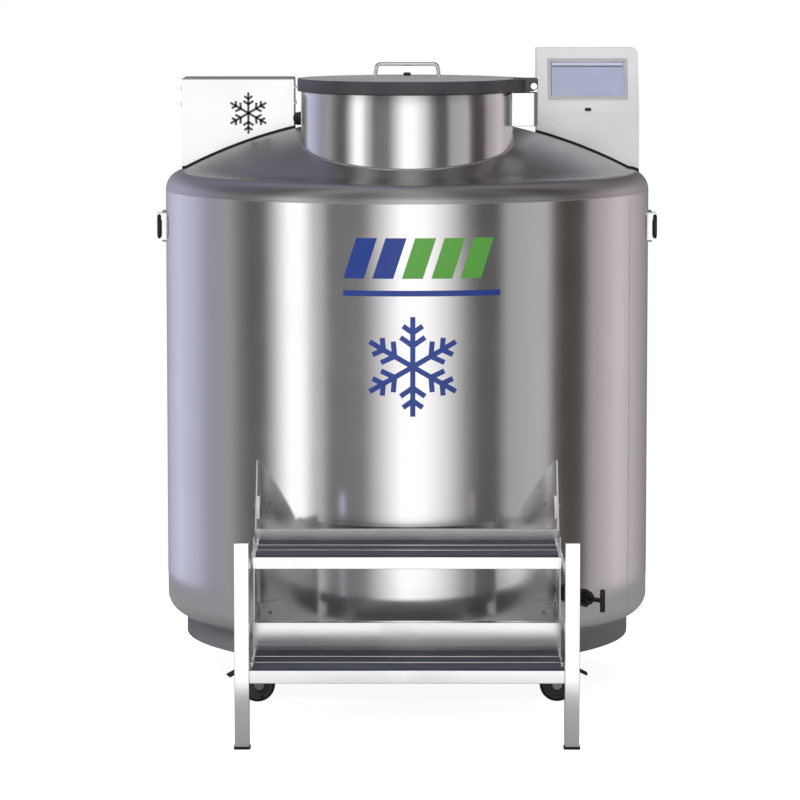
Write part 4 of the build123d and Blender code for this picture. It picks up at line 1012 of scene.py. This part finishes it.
def slope_frame():
    """Middle of the display, and the directions across it, up it and out of it."""
    low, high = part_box("display_screen")
    centre = (low + high) / 2
    up = Vector((0, *FACE_LEAN)).normalized()
    out = Vector((0, -up.z, up.y))
    return centre, Vector((1, 0, 0)), up, out


def slope_panel(name, x0, x1, u0, u1, material):
    """Thin raised panel on the display, from its spans across and up."""
    centre, across, up, out = slope_frame()
    mesh = bpy.data.meshes.new(name)
    work = bmesh.new()
    corners = []
    for height in (0.0, PANEL_LIFT):
        face = centre + out * (SCREEN_HALF_THICK + height)
        for x, u in ((x0, u0), (x1, u0), (x1, u1), (x0, u1)):
            corners.append(work.verts.new(face + across * x + up * u))
    work.faces.new([corners[k] for k in (0, 3, 2, 1)])
    work.faces.new([corners[k] for k in (4, 5, 6, 7)])
    for k in range(4):
        after = (k + 1) % 4
        work.faces.new([corners[k], corners[after], corners[after + 4], corners[k + 4]])
    bmesh.ops.bevel(
        work, geom=list(work.edges), offset=PANEL_LIFT * 0.4, segments=2,
        affect="EDGES", clamp_overlap=True,
    )
    work.to_mesh(mesh)
    work.free()
    mesh.materials.append(material)
    link_piece(name, mesh, "vessel")


def housing_screw_places():
    """Where the screw heads stand on the housings' sides, as (point, direction), and their height."""
    mesh = frame["nodes"]["housing_screws"].data
    work = bmesh.new()
    work.from_mesh(mesh)
    bmesh.ops.remove_doubles(work, verts=work.verts, dist=JOIN_WITHIN)
    work.verts.ensure_lookup_table()
    boxes = [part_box("plumbing_box"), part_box("controller_housing")]
    faces = [corner.x for pair in boxes for corner in pair]
    seen, places = set(), []
    for vertex in work.verts:
        if vertex in seen:
            continue
        group, queue = [], [vertex]
        seen.add(vertex)
        while queue:
            current = queue.pop()
            group.append(current.co.copy())
            for edge in current.link_edges:
                other = edge.other_vert(current)
                if other not in seen:
                    seen.add(other)
                    queue.append(other)
        low = Vector([min(p[k] for p in group) for k in range(3)])
        high = Vector([max(p[k] for p in group) for k in range(3)])
        centre = (low + high) / 2
        face_x = min(faces, key=lambda x: abs(x - centre.x))
        way = Vector((1 if centre.x > face_x else -1, 0, 0))
        places.append((Vector((face_x, centre.y, centre.z)), way))
        height = high.x - low.x
    work.free()
    return places, height


def build_housings():
    """Plumbing box and controller with its display, seals and headed screws, and painted shade lines
    along the display's recessed edges.
    """
    finished("plumbing_box", 0.0012, 3)
    finished("controller_housing", 0.0012, 3, material=CONTROLLER_STEEL)
    finished("display_bezel", 0.0005)
    finished("display_screen", 0.0003)
    finished("data_port", 0.0004)
    finished("housing_gaskets", 0.0015)
    slope_panel("display_top_strip", -0.079, 0.079, 0.034, 0.0405, SCREEN_LIGHT)
    # The dark rule under the top strip and the dark line down the left edge are painted shade from
    # the recessed window's top and side.
    slope_panel("display_rule_painted_shade", -0.079, 0.079, 0.030, 0.0325, SCREEN_PAINTED_SHADE)
    slope_panel("display_left_edge_painted_shade", -0.0815, -0.080, -0.0425, 0.0425, SCREEN_PAINTED_SHADE)
    places, height = housing_screw_places()
    mesh = run_tree("housing_screws_headed", SCREWS, {
        "Head Radius": SCREW_HEAD_R, "Head Height": height, "Material": MATERIALS["handle_steel"],
    }, stud_mesh("studs", places))
    link_piece("housing_screws_headed", mesh, "vessel", ["housing_screws"])


# ---------- pipework and valve

def build_pipework():
    """Fittings, valve and conduits, with corrugations along the larger conduit's straight run."""
    for name in ("inlet_fitting", "relief_valve", "vacuum_port", "valve_body"):
        finished(name, 0.0008)
    finished("valve_handle", 0.0008)
    finished("sensor_conduit", 0.0, 2, 60)
    finished("plumbing_conduit", 0.0, 2, 60)
    low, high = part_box("plumbing_conduit")
    rise = (high.z - low.z - CONDUIT_THICK) / CONDUIT_LENGTH
    run = (CONDUIT_AIM.normalized() + Z_AXIS * rise) * CONDUIT_RUN
    chain = [CONDUIT_START + run * k / 12 for k in range(1, 12)]
    mesh = run_tree("conduit_corrugations", RINGS, {
        "Spacing": RING_SPACING, "Radius": RING_R, "Bead": RING_BEAD,
        "Material": MATERIALS["black_plastic"],
    }, wire_mesh("conduit_line", [chain]))
    mesh.shade_smooth()
    link_piece("conduit_corrugations", mesh, "vessel")


# ---------- ladder

def build_ladder():
    """Legs, sides, treads and grip strips with small rounded edges."""
    finished("step_legs", 0.0022, 3, material=LEG_STEEL)
    finished("leg_pads", 0.0012)
    for name in ("side_plates", "side_rails", "step_tabs", "upper_tread", "lower_tread"):
        finished(name, 0.0009)
    finished("step_bolts", 0.0008)
    finished("grip_strips", 0.0007)


# ---------- casters, base and rings

def build_wheel(name):
    """Wheel with a black tread and a grey moulded centre."""
    piece = finished(f"caster_wheel_{name}", 0.0006, 2, 40)
    mesh = piece.data
    mesh.materials.append(HUB_GREY)
    joint = next(j for j in frame["joints"] if j["name"] == f"roll_{name}")
    centre, axis = Vector(joint["pos_m"]), Vector(joint["axis"]).normalized()
    for face in mesh.polygons:
        away = face.center - centre
        if (away - axis * away.dot(axis)).length < WHEEL_CENTRE_R:
            face.material_index = 1


def build_base():
    """Base ring, casters, lifting rings and the lid's hinge."""
    finished("base_ring", 0.0015)
    finished("caster_plates", 0.0006)
    finished("lifting_pads", 0.0010)
    finished("lifting_ring_left", 0.0, 2, 50)
    finished("lifting_ring_right", 0.0, 2, 50)
    finished("hinge_bracket", 0.0010)
    finished("hinge_pin", 0.0008)
    for name in ("front_left", "front_right", "rear_left", "rear_right"):
        finished(f"caster_fork_{name}", 0.0006)
        build_wheel(name)
    for name in ("front_left", "front_right"):
        finished(f"brake_pedal_{name}", 0.0010)


def paint_inside():
    """Finishes for the nodes that keep their CAD mesh."""
    for name, obj in frame["nodes"].items():
        if obj.hide_render:
            continue
        for place in obj.material_slots:
            place.material = MATERIALS[SLOT_OF[name]]


# ---------- studio

TINTS = {
    "plain": (1.0, 1.0, 1.0),
    "cool": (0.94, 0.96, 1.22),
    "brown": (1.12, 0.99, 0.88),
    "pink": (1.05, 0.97, 1.03),
}
# Direction round the object in degrees, 0 towards the camera and + to its right, with the level
# and tint of the light from there.
BANDS = [
    (-180, 0.20, "plain"), (-157, 0.50, "cool"), (-140, 0.66, "cool"), (-120, 0.52, "cool"),
    (-108, 0.34, "cool"), (-93, 0.35, "plain"), (-86, 0.20, "plain"), (-79, 0.11, "plain"),
    (-71, 0.12, "plain"), (-66, 0.46, "plain"), (-57, 1.30, "plain"), (-50, 1.25, "plain"),
    (-45, 0.58, "plain"), (-40, 0.46, "plain"), (-37, 0.17, "plain"), (-20, 0.20, "plain"),
    (-11, 0.74, "plain"), (-2, 1.30, "plain"), (9, 1.20, "plain"), (20, 0.72, "plain"),
    (28, 0.25, "plain"), (34, 0.11, "plain"), (43, 0.10, "plain"), (48, 0.40, "plain"),
    (69, 0.50, "plain"), (74, 0.12, "brown"), (80, 0.06, "brown"), (91, 0.08, "brown"),
    (97, 0.34, "pink"), (120, 0.62, "pink"), (150, 0.34, "pink"), (180, 0.12, "plain"),
]
# Share of a band's light left at each height, as the sine of the angle above level.
FADES = [(0.0, 1.0), (0.20, 1.0), (0.42, 0.42), (0.80, 0.45), (1.0, 0.70)]
FLOOR_R = 1.6


def build_world():
    """Soft bands of light and dark all round, plain white where the camera sees past the object."""
    world = bpy.data.worlds.new("studio")
    bpy.context.scene.world = world
    world.use_nodes = True
    tree = world.node_tree
    tree.nodes.clear()
    place = node(tree, "ShaderNodeTexCoord")
    split = node(tree, "ShaderNodeSeparateXYZ")
    link(tree, place.outputs["Generated"], split.inputs[0])
    front = node(tree, "ShaderNodeMath", operation="MULTIPLY", in_1=-1.0)
    link(tree, split.outputs["Y"], front.inputs[0])
    turn = node(tree, "ShaderNodeMath", operation="ARCTAN2")
    link(tree, split.outputs["X"], turn.inputs[0])
    link(tree, front.outputs[0], turn.inputs[1])
    share = node(tree, "ShaderNodeMapRange")
    fill(share, From_Min=-math.pi, From_Max=math.pi)
    link(tree, turn.outputs[0], share.inputs["Value"])
    stops = [
        ((angle + 180) / 360, tuple(level * part for part in TINTS[name]) + (1,))
        for angle, level, name in BANDS
    ]
    bands = ramp(tree, stops)
    link(tree, share.outputs[0], bands.inputs[0])
    fade = ramp(tree, [(height, (level, level, level, 1)) for height, level in FADES])
    link(tree, split.outputs["Z"], fade.inputs[0])
    faded = node(tree, "ShaderNodeVectorMath", operation="MULTIPLY")
    link(tree, bands.outputs[0], faded.inputs[0])
    link(tree, fade.outputs[0], faded.inputs[1])
    lit = node(tree, "ShaderNodeBackground")
    link(tree, faded.outputs[0], lit.inputs["Color"])
    plain = node(tree, "ShaderNodeBackground")
    fill(plain, Color=(1, 1, 1, 1))
    seen = node(tree, "ShaderNodeLightPath")
    chosen = node(tree, "ShaderNodeMixShader")
    link(tree, seen.outputs["Is Camera Ray"], chosen.inputs[0])
    link(tree, lit.outputs[0], chosen.inputs[1])
    link(tree, plain.outputs[0], chosen.inputs[2])
    output = node(tree, "ShaderNodeOutputWorld")
    link(tree, chosen.outputs[0], output.inputs["Surface"])


def build_floor():
    """Plain pale round floor, white to the eye and mid grey in the steel's reflections."""
    outline = [(0, -0.02), (FLOOR_R, -0.02), (FLOOR_R, 0.0), (0, 0.0)]
    mesh = lathe("floor", outline, (0, 0), None, 96)
    mesh.materials.clear()
    material, tree, shader = material_start("floor_white", (0.9, 0.9, 0.9, 1), 0.0, 0.9)
    fill(shader, Specular_IOR_Level=0.0)
    seen = node(tree, "ShaderNodeLightPath")
    eye = seen.outputs["Is Camera Ray"]
    base = mix_colour(tree, eye, (0.30, 0.30, 0.31, 1), (0.8, 0.8, 0.8, 1))
    glow = mix_colour(tree, eye, (0.06, 0.06, 0.06, 1), (0.9, 0.9, 0.9, 1))
    link(tree, base, shader.inputs["Base Color"])
    link(tree, glow, shader.inputs["Emission Color"])
    fill(shader, Emission_Strength=1.0)
    mesh.materials.append(material)
    floor = bpy.data.objects.new("floor", mesh)
    bpy.context.scene.collection.objects.link(floor)


def soft_light(name, place, aim, size, power):
    """A soft lamp aimed at a point; it lights the object without a reflection of its own."""
    data = bpy.data.lights.new(name, "AREA")
    data.shape = "RECTANGLE"
    data.size, data.size_y = size
    data.energy = power
    lamp = bpy.data.objects.new(name, data)
    lamp.location = place
    lamp.visible_glossy = False
    lamp.rotation_euler = (Vector(aim) - Vector(place)).to_track_quat("-Z", "Y").to_euler()
    bpy.context.scene.collection.objects.link(lamp)


build_world()
build_floor()
MIDDLE = (0, 0, 0.7)
soft_light("key", (-1.6, -5.0, 4.6), MIDDLE, (3.0, 2.0), 190)
soft_light("top", (0.5, 0.5, 5.0), MIDDLE, (3.0, 3.0), 120)
build_jacket()
build_neck()
build_welds()
build_marks()
build_box_sign()
build_lid()
build_housings()
build_pipework()
build_ladder()
build_base()
paint_inside()
